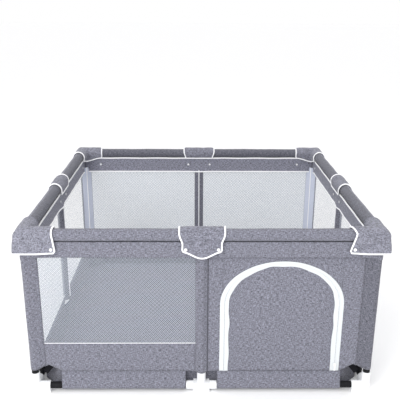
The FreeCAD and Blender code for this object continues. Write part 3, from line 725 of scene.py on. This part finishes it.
def tunnel_profile(count):
    """A teardrop section from the hem, down outside the rail, under it and up again inside."""
    radius = TUBE + 0.3 * MM + CLOTH
    rise = HEM - BOTTOM
    tangent = math.acos(radius / rise)
    lap = 0.6 * MM
    start, end = math.pi / 2 + tangent, math.pi / 2 - tangent + 2 * math.pi
    arc = [
        (radius * math.cos(a), BOTTOM + radius * math.sin(a)) for a in np.linspace(start, end, count)
    ]
    outside = [(-lap, HEM)] + [
        (-lap + (arc[0][0] + lap) * s, HEM + (arc[0][1] - HEM) * s) for s in (0.25, 0.5, 0.75)
    ]
    inside = [(-v, z) for v, z in outside[::-1]]
    return outside + arc + inside


def tunnel(side, way):
    name = half_name("tunnel", side, way)
    low, high = TUNNEL_MID, HALF - TUNNEL_CORNER
    section = np.array(tunnel_profile(22))
    columns = 80
    along = np.linspace(low, high, columns) * way
    points = grid_of(along, section[:, :1], section[:, 1:])
    seed = 140 + SIDES.index(side) * 2 + way
    slack = np.sin(np.linspace(0, math.pi, len(section)))[:, None]
    puffs = wrinkles(points * np.array([1, 0.6, 0.6]), 34 * MM, 0.9 * MM, seed) * slack
    away = points[:, :, 1:] - np.array([0, BOTTOM])
    size = np.linalg.norm(away, axis=2, keepdims=True)
    points[:, :, 1:] += away / size * np.abs(puffs)[:, :, None]
    points[:, :, 2] = np.maximum(points[:, :, 2], BOTTOM - TUBE - 2.2 * MM)
    piece = thicken(skin(name, points, side_matrix(side), (along[0], 0)), CLOTH)
    finish_piece(piece, CLOTH_GRAY, ROOT, ["rail_tunnels"])


# ---------------------------------------------------------------- pockets round the posts


def pocket_outline(reach, radius, count=14):
    """From a seam in the wall plane, over the outside of a post at the origin, to the other seam."""
    lean = math.asin(radius / reach)
    turn = np.linspace(math.pi - (math.pi / 2 - lean), math.pi / 2 - lean, count)
    arc = [(radius * math.cos(a), -radius * math.sin(a)) for a in turn]
    left = [(-reach + (arc[0][0] + reach) * s, arc[0][1] * s) for s in np.linspace(0, 0.85, 6)]
    right = [(-x, y) for x, y in left[::-1]]
    return left + arc + right


def corner_outline(reach, radius, count=18):
    """The same round a corner post, from the seam on one wall to the seam on the other."""
    lean = math.asin(radius / reach)
    first = math.radians(270) + lean
    turn = np.linspace(first, math.radians(180) - lean, count)
    arc = [(radius * math.cos(a), radius * math.sin(a)) for a in turn]
    start = [(reach + (arc[0][0] - reach) * s, arc[0][1] * s) for s in np.linspace(0, 0.85, 6)]
    end = [(y, x) for x, y in start[::-1]]
    return start + arc + end


def pocket(name, outline, low, high, matrix, seed, node):
    """A cloth pocket: an outline from the seam on one side to the other, between two heights."""
    rows = 40
    line = np.array(outline)
    share = np.linspace(0, 1, rows)[:, None]
    foot = np.array([low(x, y) for x, y in outline])[None, :]
    points = grid_of(line[:, 0], line[:, 1], foot + (high - foot) * share)
    outward = points[:, :, :2] / np.linalg.norm(points[:, :, :2], axis=2, keepdims=True)
    pinned = np.sin(np.linspace(0, math.pi, len(line)))[None, :]
    waves = wrinkles(points * np.array([1, 1, 0.35]), 26 * MM, 1.4 * MM, seed)
    points[:, :, :2] += outward * (np.abs(waves) * pinned)[:, :, None]
    piece = thicken(skin(name, points, matrix), CLOTH)
    # painted shade: the front right corner's pocket gets the darker copy of the sleeve cloth
    material = SLEEVE_SHADED if name == "pocket_front_right" else SLEEVE_GRAY
    finish_piece(piece, material, ROOT, [node])
    return piece


POST_CLOTH = TUBE + 1.0 * MM


def corner_low(x, y):
    """The lower edge of a corner pocket, rising to the notch's point along each wall."""
    along = max(x, y)
    start = CORNER_SLEEVE_LOW + 24 * MM
    return start + max(0.0, along - 9 * MM) * (NOTCH_APEX[1] - start) / (NOTCH_APEX[0] - 9 * MM)


def corner_pocket(corner):
    index = CORNERS.index(corner)
    matrix = corner_matrix(corner)
    top = BAND_HEM["front"] + 8 * MM
    outline = corner_outline(CORNER_FLANGE, POST_CLOTH)
    node = "corner_post_sleeves"
    pocket("pocket_" + corner, outline, corner_low, top, matrix, 170 + index, node)
    low = NOTCH_APEX[1]
    share, rise = np.linspace(0, 1, 9), np.linspace(0, 1, 12)[:, None]
    points = grid_of(CORNER_FLANGE * (1 - share), CORNER_FLANGE * share, low + (top - low) * rise)
    lining = skin("pocket_lining_" + corner, points, matrix)
    finish_piece(lining, LINING, ROOT, [node])
    centre = CORNER_FLANGE / 2 + 1.2 * MM
    path = [(centre, centre, z) for z in np.linspace(low, top, 20)]
    piping = cord_pieces("pocket_piping_" + corner, [path], matrix, 2.2 * MM)
    finish_piece(piping, PIPING_WHITE, ROOT)


def foot_collars():
    """The moulded lip at the top of each corner foot's socket, round the post."""
    outer = [(15.9, 70.4), (16.3, 71.4), (16.3, 78.6), (15.6, 79.8), (14.2, 80.2)]
    points = lathe([(12.8, 70.4), *outer, (12.8, 80.2)], 49)
    made = [skin("collar", points, corner_matrix(corner)) for corner in CORNERS]
    finish_piece(joined("foot_collars", made), PLASTIC_WHITE, ROOT)


def mid_pocket(side):
    """Cloth over both sides of a mid post, seamed to the walls, with piping up its inner face."""
    matrix = side_matrix(side)
    top = BAND_HEM[side] + 10 * MM
    low = MID_SLEEVE_LOW
    for face in (1, -1):
        outline = [(x, y * face) for x, y in pocket_outline(MID_FLANGE, POST_CLOTH)]
        name = f"mid_pocket_{side}_{'outer' if face > 0 else 'inner'}"
        seed = 200 + SIDES.index(side) * 2 + face
        pocket(name, outline, lambda x, y: low, top, matrix, seed, "mid_post_sleeves")
    inside = POST_CLOTH + 2.4 * MM
    path = [(0, inside, z) for z in np.linspace(low + 12 * MM, top, 24)]
    seam = [(MID_FLANGE - 1.5 * MM, -1.6 * MM, z) for z in np.linspace(low, top, 24)]
    piping = cord_pieces("mid_piping_" + side, [path], matrix, 2.2 * MM)
    finish_piece(piping, PIPING_WHITE, ROOT)
    # painted shade: a dark cord along the seam stands for the shade in its crease
    shade_cord = cord_pieces("mid_seam_shade_" + side, [seam], matrix, 1.7 * MM)
    finish_piece(shade_cord, SEAM_SHADE, ROOT)


# ---------------------------------------------------------------- floor cloth


def floor_cloth():
    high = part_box("floor_sheet")[1]
    half, level = high.x, high.z - CLOTH / 2
    cut = 70 * MM
    count = 121
    across = np.sin(np.linspace(-1, 1, count) * math.pi / 2)
    y = half * across[:, None]
    points = grid_of(across * np.minimum(half, 2 * half - cut - np.abs(y)), y, 0.0)
    edge = half - np.maximum(np.abs(points[:, :, 0]), np.abs(points[:, :, 1]))
    inside = smooth(edge / (60 * MM))
    waves = wrinkles(points, 160 * MM, 2.2 * MM, 300) + wrinkles(points, 55 * MM, 0.8 * MM, 301)
    points[:, :, 2] = level + np.maximum(waves, 0) * (0.3 + 0.7 * inside)
    piece = thicken(skin("floor_cloth", points), CLOTH)
    finish_piece(piece, FLOOR_GRAY, ROOT, ["floor_sheet"])


UPSTAND_IN = 17.2 * MM  # the floor's turned-up edge, from the wall's plane, where it passes a foot
CORNER_CUT = 87 * MM  # from a post's axis to where the turned-up edge leaves the wall


def tunnel_inside(z):
    """How far inside the wall's plane the tunnel's cloth is at a height."""
    radius = TUBE + 0.3 * MM + 2 * CLOTH
    rise = HEM - BOTTOM
    if z < BOTTOM:
        return radius
    lean = math.asin(radius / rise)
    touch = BOTTOM + radius * math.sin(lean)
    if z < touch:
        return math.sqrt(radius**2 - (z - BOTTOM) ** 2)
    return radius * math.cos(lean) * max(0.0, (HEM - z) / (HEM - touch))


def floor_upstand(side):
    """The floor cloth's edge, turned up against the wall and across the corners inside the feet."""
    end = HALF - CORNER_CUT
    share = np.linspace(0, 1, 14)[:-1]
    reach = CORNER_CUT - UPSTAND_IN
    turn = [(-end - reach / 2 * (1 - s), UPSTAND_IN + reach / 2 * (1 - s)) for s in share]
    straight = [(u, UPSTAND_IN) for u in np.linspace(-end, end, 150)]
    line = np.array(turn + straight + [(-u, v) for u, v in turn[::-1]])
    along, out = line[:, 0], line[:, 1]
    leaning = smooth((np.abs(along) - 50 * MM) / (45 * MM)) * smooth((end - np.abs(along)) / (40 * MM))
    height = np.linspace(1.6 * MM, HEM + 4 * MM, 16)
    wall = np.array([tunnel_inside(z) + 1.8 * MM for z in height])
    points = grid_of(along, out - leaning * (UPSTAND_IN - wall[:, None]).clip(0), height[:, None])
    waves = np.abs(wrinkles(points * np.array([1, 1, 0.5]), 45 * MM, 1.6 * MM, 380 + SIDES.index(side)))
    points[:, :, 1] += waves * (0.35 + 0.65 * leaning[None, :])
    name = "floor_upstand_" + side
    piece = thicken(skin(name, points, side_matrix(side)), CLOTH)
    finish_piece(piece, FLOOR_GRAY, ROOT, ["floor_sheet"])


# ---------------------------------------------------------------- zip door

TAPE_SIDE = 33 * MM  # both halves of the zip at the sides of the arch, and at its top
TAPE_TOP = 19 * MM
TAPE_Y = -(CLOTH / 2 + 0.75 * MM)


def arch_line(share, count=150, low=ARCH_LOW):
    """A line up one side of the arch, over it and down: share 0 is the tape's outer edge."""
    half = ARCH_HALF - share * TAPE_SIDE
    rise = ARCH_TOP - ARCH_SPRING - share * TAPE_TOP
    straight = np.linspace(low, ARCH_SPRING, 60)[:-1]
    up = [(ARCH_X - half, z) for z in straight]
    turn = np.linspace(math.pi, 0, count)
    over = [(ARCH_X + half * math.cos(a), ARCH_SPRING + rise * math.sin(a)) for a in turn]
    return np.array(up + over + [(2 * ARCH_X - x, z) for x, z in up[::-1]])


def arch_height(u, share):
    """The height of one of the arch's lines at a place along the side."""
    half = ARCH_HALF - share * TAPE_SIDE
    rise = ARCH_TOP - ARCH_SPRING - share * TAPE_TOP
    return ARCH_SPRING + rise * math.sqrt(max(0.0, 1 - ((u - ARCH_X) / half) ** 2))


def tape_strip(first, last, rows, seed, ripple):
    """A strip of zip tape between two of the arch's lines, a little wavy at its last one."""
    shares = np.linspace(first, last, rows)
    grid = np.array([arch_line(s) for s in shares])
    near_coil = np.exp(-(((shares - 0.5) / 0.12) ** 2))[:, None]
    points = grid_of(grid[:, :, 0], TAPE_Y - 0.5 * MM * near_coil, grid[:, :, 1])
    free = (np.abs(shares - 0.5) * 2)[:, None] ** 2
    waves = wrinkles(points, 30 * MM, 1.0 * MM, seed) * free
    points[:, :, 1] -= np.abs(waves)
    drift = wrinkles(points[-1:] if last > 0.5 else points[:1], 50 * MM, ripple, seed + 1)
    inward = np.array([ARCH_X, 0, ARCH_SPRING * 0.6]) - points
    inward[:, :, 1] = 0
    inward /= np.linalg.norm(inward, axis=2, keepdims=True)
    points += inward * (drift * free)[:, :, None]
    return points


def coil(points_share, name, body):
    """Nylon teeth along one edge of the zip: a ribbed bead."""
    line = arch_line(points_share, 260)
    steps = np.concatenate([[0], np.cumsum(np.linalg.norm(np.diff(line, axis=0), axis=1))])
    pitch = 2.1 * MM
    count = int(steps[-1] / pitch * 5)
    at = np.linspace(0, steps[-1], count)
    path = np.stack([np.interp(at, steps, line[:, k]) for k in (0, 1)], axis=1)
    ahead = np.gradient(path, axis=0)
    ahead /= np.linalg.norm(ahead, axis=1, keepdims=True)
    side = np.stack([-ahead[:, 1], ahead[:, 0]], axis=1)
    rib = 0.72 + 0.28 * np.cos(2 * math.pi * at / pitch)
    turn = np.linspace(0, math.pi, 7)[:, None]
    reach = 1.25 * MM * np.cos(turn)
    proud = TAPE_Y - 0.3 * MM - 1.5 * MM * np.sin(turn) * rib
    points = grid_of(path[:, 0] + side[:, 0] * reach, proud, path[:, 1] + side[:, 1] * reach)
    piece = skin(name, points, side_matrix("front"))
    finish_piece(piece, TAPE_WHITE, body)
    return piece


def zip_tapes():
    matrix = side_matrix("front")
    for name, first, last, body, node in (
        ("zip_tape_wall", 0.0, 0.488, ROOT, "zip_half_wall"),
        ("zip_tape_door", 0.512, 1.0, "door", "zip_half_door"),
    ):
        ripple = 0.6 * MM if body == ROOT else 4.5 * MM
        points = tape_strip(first, last, 9, 320, ripple)
        piece = thicken(skin(name, points, matrix), 0.9 * MM)
        finish_piece(piece, TAPE_WHITE, body, [node])
    coil(0.455, "zip_coil_wall", ROOT)
    coil(0.545, "zip_coil_door", "door")


def door_surround():
    """The gray cloth round the door, in three parts that meet under the zip tape."""
    matrix = side_matrix("front")
    start, end = half_span(1)
    top = BAND_HEM["front"] + 12 * MM
    lap = 10 * MM
    left, right = ARCH_X - ARCH_HALF + lap, ARCH_X + ARCH_HALF - lap
    share = lap / TAPE_SIDE
    parts = [
        wall_grid(notch_height, top, start, left, 60, 12, 0.9 * MM, 330, pinned=False),
        wall_grid(lambda u: arch_height(u, share), top, left, right, 16, 120, 0.9 * MM, 330, False),
        wall_grid(notch_height, top, right, end, 60, 14, 0.9 * MM, 330, pinned=False),
    ]
    made, area = [], 0.0
    for index, grid in enumerate(parts):
        grid[:, :, 1] = np.abs(grid[:, :, 1])
        made.append(skin(f"surround_{index}", grid, matrix, (grid[0, 0, 0], grid[0, 0, 2])))
        widths = np.diff(grid[0, :, 0])
        tall = grid[-1, :, 2] - grid[0, :, 2]
        area += float((widths * (tall[1:] + tall[:-1]) / 2).sum())
    piece = thicken(joined("door_surround_cloth", made), CLOTH)
    finish_piece(piece, CLOTH_GRAY, ROOT, ["door_surround"])


def door_cloth():
    matrix = side_matrix("front")
    edge = 0.62  # the door's cloth ends under its half of the tape
    half = ARCH_HALF - edge * TAPE_SIDE
    turn = np.linspace(math.pi, 0, 110)
    u = ARCH_X + half * np.cos(turn)
    high = np.array([arch_height(x, edge) for x in u])
    share = np.linspace(0, 1, 70)[:, None]
    points = grid_of(u, 0.0, HEM + 1 * MM + (high - HEM - 1 * MM) * share)
    from_side = (half - np.abs(points[:, :, 0] - ARCH_X)) / half
    free = smooth(from_side * 4) * smooth(share * 8) * smooth((1 - share) * 6)
    slow = wrinkles(points * np.array([1, 1, 0.7]), 120 * MM, 5.5 * MM, 341)
    quick = wrinkles(points * np.array([1, 1, 0.6]), 38 * MM, 1.4 * MM, 342)
    points[:, :, 1] = 0.3 * MM + (slow + quick) * free
    piece = thicken(skin("door_cloth", points, matrix, (u[0], HEM)), CLOTH)
    finish_piece(piece, CLOTH_GRAY, "door", ["door_panel"])


# ---------------------------------------------------------------- padded covers

COVER_SIDE = 29.4 * MM  # the cover's outer face, from the rail's axis
COVER_PAD = 5.4 * MM  # thickness
COVER_PIPING = 3.0 * MM  # radius
SNAP_FACE = COVER_SIDE - 1.6 * MM  # the snaps' seat, from the rail's axis
MID_SNAP = 56 * MM  # from the middle of the side
CORNER_ARM = 108 * MM
CORNER_DROP = 57 * MM
INNER_DROP = 21 * MM
MID_DROP = 53 * MM
SNAP_DROP = 44 * MM
CORNER_DIP = 17 * MM  # how much lower the inner hem is in the corner itself
OUTER_ROWS = 28  # rows of a cover's grid from its outer hem up to the rails' height
HEM_IN = 1.5 * MM  # how much closer to the rails the outer hem is
CORNER_FLARE = 8 * MM  # how far the hem stands off in the corner itself
SNAP_ALONG = {"front_left": 98 * MM, "front_right": 90 * MM}
# Lengths up from the outer hem and over the roll, and how far a corner cover's arm reaches there,
# in millimetres.
ARM_RUNS = (0, 15, 45, 71, 85, 110, 170)
ARM_REACHES = {
    "front_left": (110, 109, 106, 102, 102, 105, 106),
    "front_right": (104, 101, 93, 86, 92, 103, 106),
}
PLAIN_REACHES = (106, 105, 102, 102, 103, 105, 106)


def cover_profile(drop, inner):
    """A cover's section from its outer hem over the roll to its inner hem, as (out, height) pairs."""
    rise = np.linspace(0, 1, OUTER_ROWS + 1)[:-1]
    outer = [(COVER_SIDE - HEM_IN + HEM_IN * smooth(s * 1.6), -drop + drop * s) for s in rise]
    turn = np.linspace(0, math.pi, 27)
    over = [(COVER_SIDE * math.cos(a), COVER_SIDE * math.sin(a)) for a in turn]
    fall = np.linspace(0, 1, 9)[1:]
    inside = [(-COVER_SIDE + 2.5 * MM * s, -inner * s) for s in fall]
    return np.array(outer + over + inside)


def corner_path(out):
    """Points round the corner at a distance outside the rails' axes, from one arm's end to the other's."""
    turn_radius = max(4 * MM, out - 24 * MM)
    centre = turn_radius - out
    ahead = np.linspace(0, 1, 34)[:-1]
    first = [(CORNER_ARM + (centre - CORNER_ARM) * s, -out) for s in ahead]
    turn = np.radians(np.linspace(270, 180, 17))
    arc = [(centre + turn_radius * math.cos(a), centre + turn_radius * math.sin(a)) for a in turn]
    return np.array(first + arc + [(y, x) for x, y in first[::-1]])


def rounded_hem(from_end, radius):
    """How far the hem rises near a rounded corner of the cover."""
    near = np.clip(1 - from_end / radius, 0, 1)
    return radius * (1 - np.sqrt(1 - near * near))


def dimple(points, spots, depth, width):
    """Dents round the snaps."""
    total = np.zeros(points.shape[:2])
    for spot in spots:
        apart = np.linalg.norm(points - np.array(spot), axis=2)
        total += depth * np.exp(-((apart / width) ** 2))
    return total


def creases(points, lines):
    """Narrow dents along lines between points: (start, end, depth, width)."""
    total = np.zeros(points.shape[:2])
    for start, end, depth, width in lines:
        start, end = np.array(start), np.array(end)
        along = end - start
        share = np.clip((points - start) @ along / (along @ along), 0, 1)
        nearest = start + share[:, :, None] * along
        apart = np.linalg.norm(points - nearest, axis=2)
        total += depth * np.exp(-((apart / width) ** 2)) * np.sin(math.pi * share) ** 0.5
    return total


def puffed(points, spots, lines, seed, flip):
    """A cover's surface: full between its edges, dented at its snaps and creased."""
    down, along = lengths(points, 0), lengths(points, 1)
    edge_down = np.minimum(down, down[-1] - down)[:, None]
    edge_along = np.minimum(along, along[-1] - along)[None, :]
    edge = np.minimum(edge_down, edge_along)
    out = grid_normals(points) * (-1 if flip else 1)
    full = 2.0 * MM * (smooth(edge / (14 * MM)) - 0.6)
    soft = wrinkles(points, 38 * MM, 1.8 * MM, seed) + wrinkles(points, 15 * MM, 0.7 * MM, seed + 1)
    soft = soft * smooth(edge / (10 * MM))
    dents = dimple(points, spots, 2.6 * MM, 9 * MM) + creases(points, lines)
    return points + out * (full + soft - dents)[:, :, None]


def border(points, skip_last=False):
    """The grid's four edges as one closed line, or the line without the last column."""
    if skip_last:
        loop = [*points[-1, ::-1], *points[-2:0:-1, 0], *points[0]]
    else:
        loop = [*points[0], *points[1:, -1], *points[-1, -2::-1], *points[-2:0:-1, 0]]
    spaced = [loop[0]]
    for point in loop[1:]:
        if np.linalg.norm(point - spaced[-1]) > 2.5 * MM:
            spaced.append(point)
    return [tuple(p) for p in spaced]


def snap_cap(name, matrix, spot, facing, body):
    """A moulded snap cap: a flat rim and a low dome, turned round its axis."""
    dome = [(0, 2.6), (2.4, 2.45), (4.0, 1.9), (4.4, 1.5)]
    rim = [(4.7, 1.5), (5.5, 1.35), (5.8, 0.7), (5.7, -0.8)]
    points = lathe(dome + rim, 41)
    aim = Vector(facing).to_track_quat("Z", "Y").to_matrix().to_4x4()
    piece = skin(name, points, matrix @ Matrix.Translation(spot) @ aim, flip=True)
    finish_piece(piece, SNAP_WHITE, body)


def cover_folds(corner, out):
    """Folds in a corner cover: where each starts and ends, how deep it is and how wide."""
    crown = ((-18 * MM, -22 * MM, TOP + 20 * MM), (30 * MM, 26 * MM, TOP + 12 * MM), 4.5 * MM, 4 * MM)
    if corner == "front_right":
        return [
            crown,
            ((-out, 84 * MM, TOP - 40 * MM), (-out, -8 * MM, TOP - 13 * MM), 5 * MM, 3.2 * MM),
            ((-out, 66 * MM, TOP - 42 * MM), (-out, 16 * MM, TOP - 27 * MM), 3.5 * MM, 3 * MM),
            ((-out, 70 * MM, TOP + 2 * MM), (-26 * MM, -20 * MM, TOP + 14 * MM), 3.5 * MM, 4 * MM),
        ]
    return [
        crown,
        ((-27 * MM, -22 * MM, TOP + 1 * MM), (4 * MM, -27 * MM, TOP + 13 * MM), 5 * MM, 3.5 * MM),
        ((40 * MM, -out, TOP - 46 * MM), (2 * MM, -out, TOP - 8 * MM), 2.5 * MM, 4 * MM),
        ((-out, 44 * MM, TOP - 44 * MM), (-out, 4 * MM, TOP - 10 * MM), 4 * MM, 4 * MM),
        ((84 * MM, -out, TOP - 34 * MM), (52 * MM, -24 * MM, TOP + 16 * MM), 3 * MM, 4 * MM),
    ]


def corner_cover(corner):
    index = CORNERS.index(corner)
    matrix = corner_matrix(corner)
    body = node = "corner_cover_" + corner
    profile = cover_profile(CORNER_DROP, INNER_DROP)
    grid = np.array([corner_path(out) for out, _ in profile])
    points = np.zeros((*grid.shape[:2], 3))
    points[:, :, :2] = grid
    reach = np.maximum(grid[:, :, 0], grid[:, :, 1])
    from_end = CORNER_ARM - reach
    height = profile[:, 1][:, None]
    lift = rounded_hem(from_end, 7 * MM) * np.clip(-height / CORNER_DROP, 0, 1)
    points[:, :, 2] = TOP + height + lift * (np.arange(len(profile)) < OUTER_ROWS)[:, None]
    inner = (np.arange(len(profile)) > OUTER_ROWS + 26)[:, None]
    to_hem = inner * np.clip(-height / INNER_DROP, 0, 1)
    dip = CORNER_DIP * (1 - smooth((reach - 20 * MM) / (80 * MM)))
    points[:, :, 2] += (rounded_hem(from_end, 9 * MM) - dip) * to_hem
    reaches = ARM_REACHES.get(corner, PLAIN_REACHES)
    run = lengths(profile[:, None], 0)
    target = np.interp(run / MM, ARM_RUNS, reaches)[:, None] * MM
    shift = (target - CORNER_ARM) * smooth(1 - from_end / (60 * MM))
    on_first = grid[:, :, 0] > grid[:, :, 1]
    points[:, :, 0] += np.where(on_first, shift, 0)
    points[:, :, 1] += np.where(on_first, 0, shift)
    flare = CORNER_FLARE * np.clip(-height / CORNER_DROP, 0, 1) ** 1.5 * smooth(from_end / (70 * MM))
    for axis in (0, 1):
        points[:, :, axis] -= flare * np.clip(-grid[:, :, axis] / COVER_SIDE, 0, 1)
    out = COVER_SIDE + 1 * MM
    snap = SNAP_ALONG.get(corner, 97 * MM)
    spots = [(snap, -out, TOP - SNAP_DROP), (-out, snap, TOP - SNAP_DROP)]
    lines = cover_folds(corner, out)
    points = puffed(points, spots, lines, 400 + index * 3, flip=True)
    piece = thicken(skin(node + "_pad", points, matrix, flip=True), COVER_PAD, -1.0)
    piece = swell_cover(piece, points, border(points), spots, lines, matrix)
    finish_piece(piece, COVER_GRAY, body, [node])
    front = corner.startswith("front")
    if front:
        bare = points[:, -1] if corner == "front_left" else points[:, 0]
        path = border(points if corner == "front_left" else points[:, ::-1], skip_last=True)
        edge = cord_pieces(node + "_binding", [[tuple(p) for p in bare]], matrix, 2.4 * MM)
        finish_piece(edge, COVER_GRAY, body)
    else:
        path = border(points)
    cord = cord_pieces(node + "_piping", [path], matrix, COVER_PIPING, closed=not front)
    finish_piece(cord, PIPING_WHITE, body)
    snap_cap(node + "_snap_1", matrix, (snap, -SNAP_FACE, TOP - SNAP_DROP), (0, -1, 0), body)
    snap_cap(node + "_snap_2", matrix, (-SNAP_FACE, snap, TOP - SNAP_DROP), (-1, 0, 0), body)


def mid_cover(side):
    index = SIDES.index(side)
    matrix = side_matrix(side)
    body = node = "mid_cover_" + side
    profile = cover_profile(MID_DROP, INNER_DROP)
    columns = 61
    across = np.linspace(-1, 1, columns)[None, :]
    height = profile[:, 1][:, None]
    above = smooth((height + 30 * MM) / (50 * MM))
    half = 67 * MM + 11 * MM * above + 0.4 * MM * np.cos(height / (9 * MM))
    tip = 23 * MM * np.cos(math.pi * across / 2) ** 2
    outer = (np.arange(len(profile)) < OUTER_ROWS)[:, None]
    from_end = (1 - np.abs(across)) * half
    share = np.clip(-height / MID_DROP, 0, 1)
    level = TOP + height + outer * share * (rounded_hem(from_end, 8 * MM) - tip)
    points = grid_of(across * half, -profile[:, :1], level)
    out = COVER_SIDE + 1 * MM
    drop = TOP - SNAP_DROP
    spots = [(-MID_SNAP, -out, drop), (MID_SNAP, -out, drop)]
    lines = [
        ((-70 * MM, -out, TOP - 22 * MM), (-20 * MM, -out, TOP - 12 * MM), 3.2 * MM, 4 * MM),
        ((70 * MM, -out, TOP - 22 * MM), (24 * MM, -out, TOP - 10 * MM), 3.2 * MM, 4 * MM),
        ((-52 * MM, -out, TOP - 38 * MM), (-8 * MM, -out, TOP - 60 * MM), 2.4 * MM, 5 * MM),
    ]
    points = puffed(points, spots, lines, 440 + index * 3, flip=False)
    piece = thicken(skin(node + "_pad", points, matrix), COVER_PAD, -1.0)
    piece = swell_cover(piece, points, border(points), spots, lines, matrix)
    finish_piece(piece, MID_COVER_GRAY, body, [node])
    cord = cord_pieces(node + "_piping", [border(points)], matrix, COVER_PIPING, closed=True)
    finish_piece(cord, PIPING_WHITE, body)
    for number, way in ((1, -1), (2, 1)):
        spot = (way * MID_SNAP, -SNAP_FACE, drop)
        snap_cap(f"{node}_snap_{number}", matrix, spot, (0, -1, 0), body)


# ---------------------------------------------------------------- webbing at the feet


def straps():
    """A webbing tab at each end of each side, from the corner foot up to the wall's notch."""
    origin = Matrix.Translation((-HALF + 40 * MM, 14.6 * MM, 62 * MM))
    lean = Matrix.Rotation(math.radians(-16), 4, "Z") @ Matrix.Rotation(math.radians(-52), 4, "Y")
    columns = 29
    bow = np.sin(np.linspace(0, math.pi, columns))
    across = np.linspace(0, 24 * MM, 9)[:, None]
    points = grid_of(np.linspace(0, 70 * MM, columns), 0.75 * MM + 0.8 * MM * bow, across)
    tab = np.array([tuple(origin @ lean @ Vector(p)) for p in points.reshape(-1, 3)]).reshape(points.shape)
    made = [
        skin("strap", tab * np.array([way, 1, 1]), side_matrix(side), flip=way < 0)
        for side in SIDES
        for way in (1, -1)
    ]
    piece = thicken(joined("webbing_tabs", made), 1.5 * MM)
    finish_piece(piece, BLACK_WEB, ROOT, ["corner_straps"])


# ---------------------------------------------------------------- what stays as the CAD made it


def dress_nodes():
    """Materials for the CAD nodes that stay in view, with small rounded edges on the moulded ones."""
    for name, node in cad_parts.items():
        if node.hide_render:
            continue
        if name.startswith(("corner_foot", "mid_foot", "top_corner", "top_mid")):
            material, round_edge = PLASTIC_WHITE, 0.8 * MM
        elif name.startswith("snap_studs"):
            material, round_edge = SNAP_WHITE, 0.3 * MM
        elif name in ("zip_slider", "zip_pull"):
            material, round_edge = SLIDER_WHITE, 0.35 * MM
        else:
            material, round_edge = BLACK_STEEL, 0
        node.data.materials.clear()
        node.data.materials.append(material)
        if round_edge:
            bevel = node.modifiers.new("edges", "BEVEL")
            bevel.width = round_edge
            bevel.segments = 3
            bevel.limit_method = "ANGLE"
            bevel.angle_limit = math.radians(40)
            bevel.use_clamp_overlap = True


# ---------------------------------------------------------------- room, light and camera


def stage():
    size = 40.0
    mesh = bpy.data.meshes.new("floor")
    corners = [(-size, -size, 0), (size, -size, 0), (size, size, 0), (-size, size, 0)]
    mesh.from_pydata(corners, [], [(0, 1, 2, 3)])
    floor = bpy.data.objects.new("floor", mesh)
    bpy.context.scene.collection.objects.link(floor)
    g = Graph("floor_pale")
    g.set("Base Color", (0.93, 0.93, 0.935, 1))
    g.set("Roughness", 0.9)
    g.set("Emission Color", (1, 1, 1, 1))
    g.set("Emission Strength", 0.06)
    mesh.materials.append(g.material)


def area_light(name, place, target, size, watts):
    light = bpy.data.lights.new(name, "AREA")
    light.shape = "DISK"
    light.size = size
    light.energy = watts
    made = bpy.data.objects.new(name, light)
    made.location = place
    made.rotation_euler = (Vector(target) - Vector(place)).to_track_quat("-Z", "Y").to_euler()
    bpy.context.scene.collection.objects.link(made)


def lights():
    area_light("key", (-1.6, -3.2, 2.2), (0, -0.4, 0.35), 1.8, 62)
    area_light("fill", (0.6, -3.2, 1.3), (0.2, -0.4, 0.3), 2.0, 8)
    area_light("top", (0, -0.4, 3.4), (0, -0.1, 0), 3.0, 18)
    world = bpy.data.worlds.new("world")
    bpy.context.scene.world = world
    world.use_nodes = True
    background = world.node_tree.nodes["Background"]
    background.inputs["Color"].default_value = (1, 1, 1, 1)
    background.inputs["Strength"].default_value = 1.0


def camera():
    place = (-0.0307, -2.6211, 1.3702)
    turned, down, rolled = -0.664, 19.284, 0.241  # degrees
    data = bpy.data.cameras.new("camera")
    data.sensor_width = 36
    data.lens = 56.73
    data.shift_y = 0.0537
    made = bpy.data.objects.new("camera", data)
    made.matrix_world = (
        Matrix.Translation(place)
        @ Matrix.Rotation(math.radians(turned), 4, "Z")
        @ Matrix.Rotation(math.radians(90 - down), 4, "X")
        @ Matrix.Rotation(math.radians(rolled), 4, "Z")
    )
    bpy.context.scene.collection.objects.link(made)
    bpy.context.scene.camera = made


# ---------------------------------------------------------------- the whole pen

for side in SIDES:
    for way in (-1, 1):
        padded_roll(side, way)
        tunnel(side, way)
    top_band(side, -1)
    band_piping(side, top_band(side, 1))
    mesh_walls(side)
    skirts(side)
    mid_pocket(side)
    mid_cover(side)
    floor_upstand(side)
for corner in CORNERS:
    corner_pocket(corner)
    corner_cover(corner)
floor_cloth()
foot_collars()
door_surround()
door_cloth()
zip_tapes()
straps()
dress_nodes()
stage()
lights()
camera()
bpy.context.scene.view_settings.view_transform = "Standard"
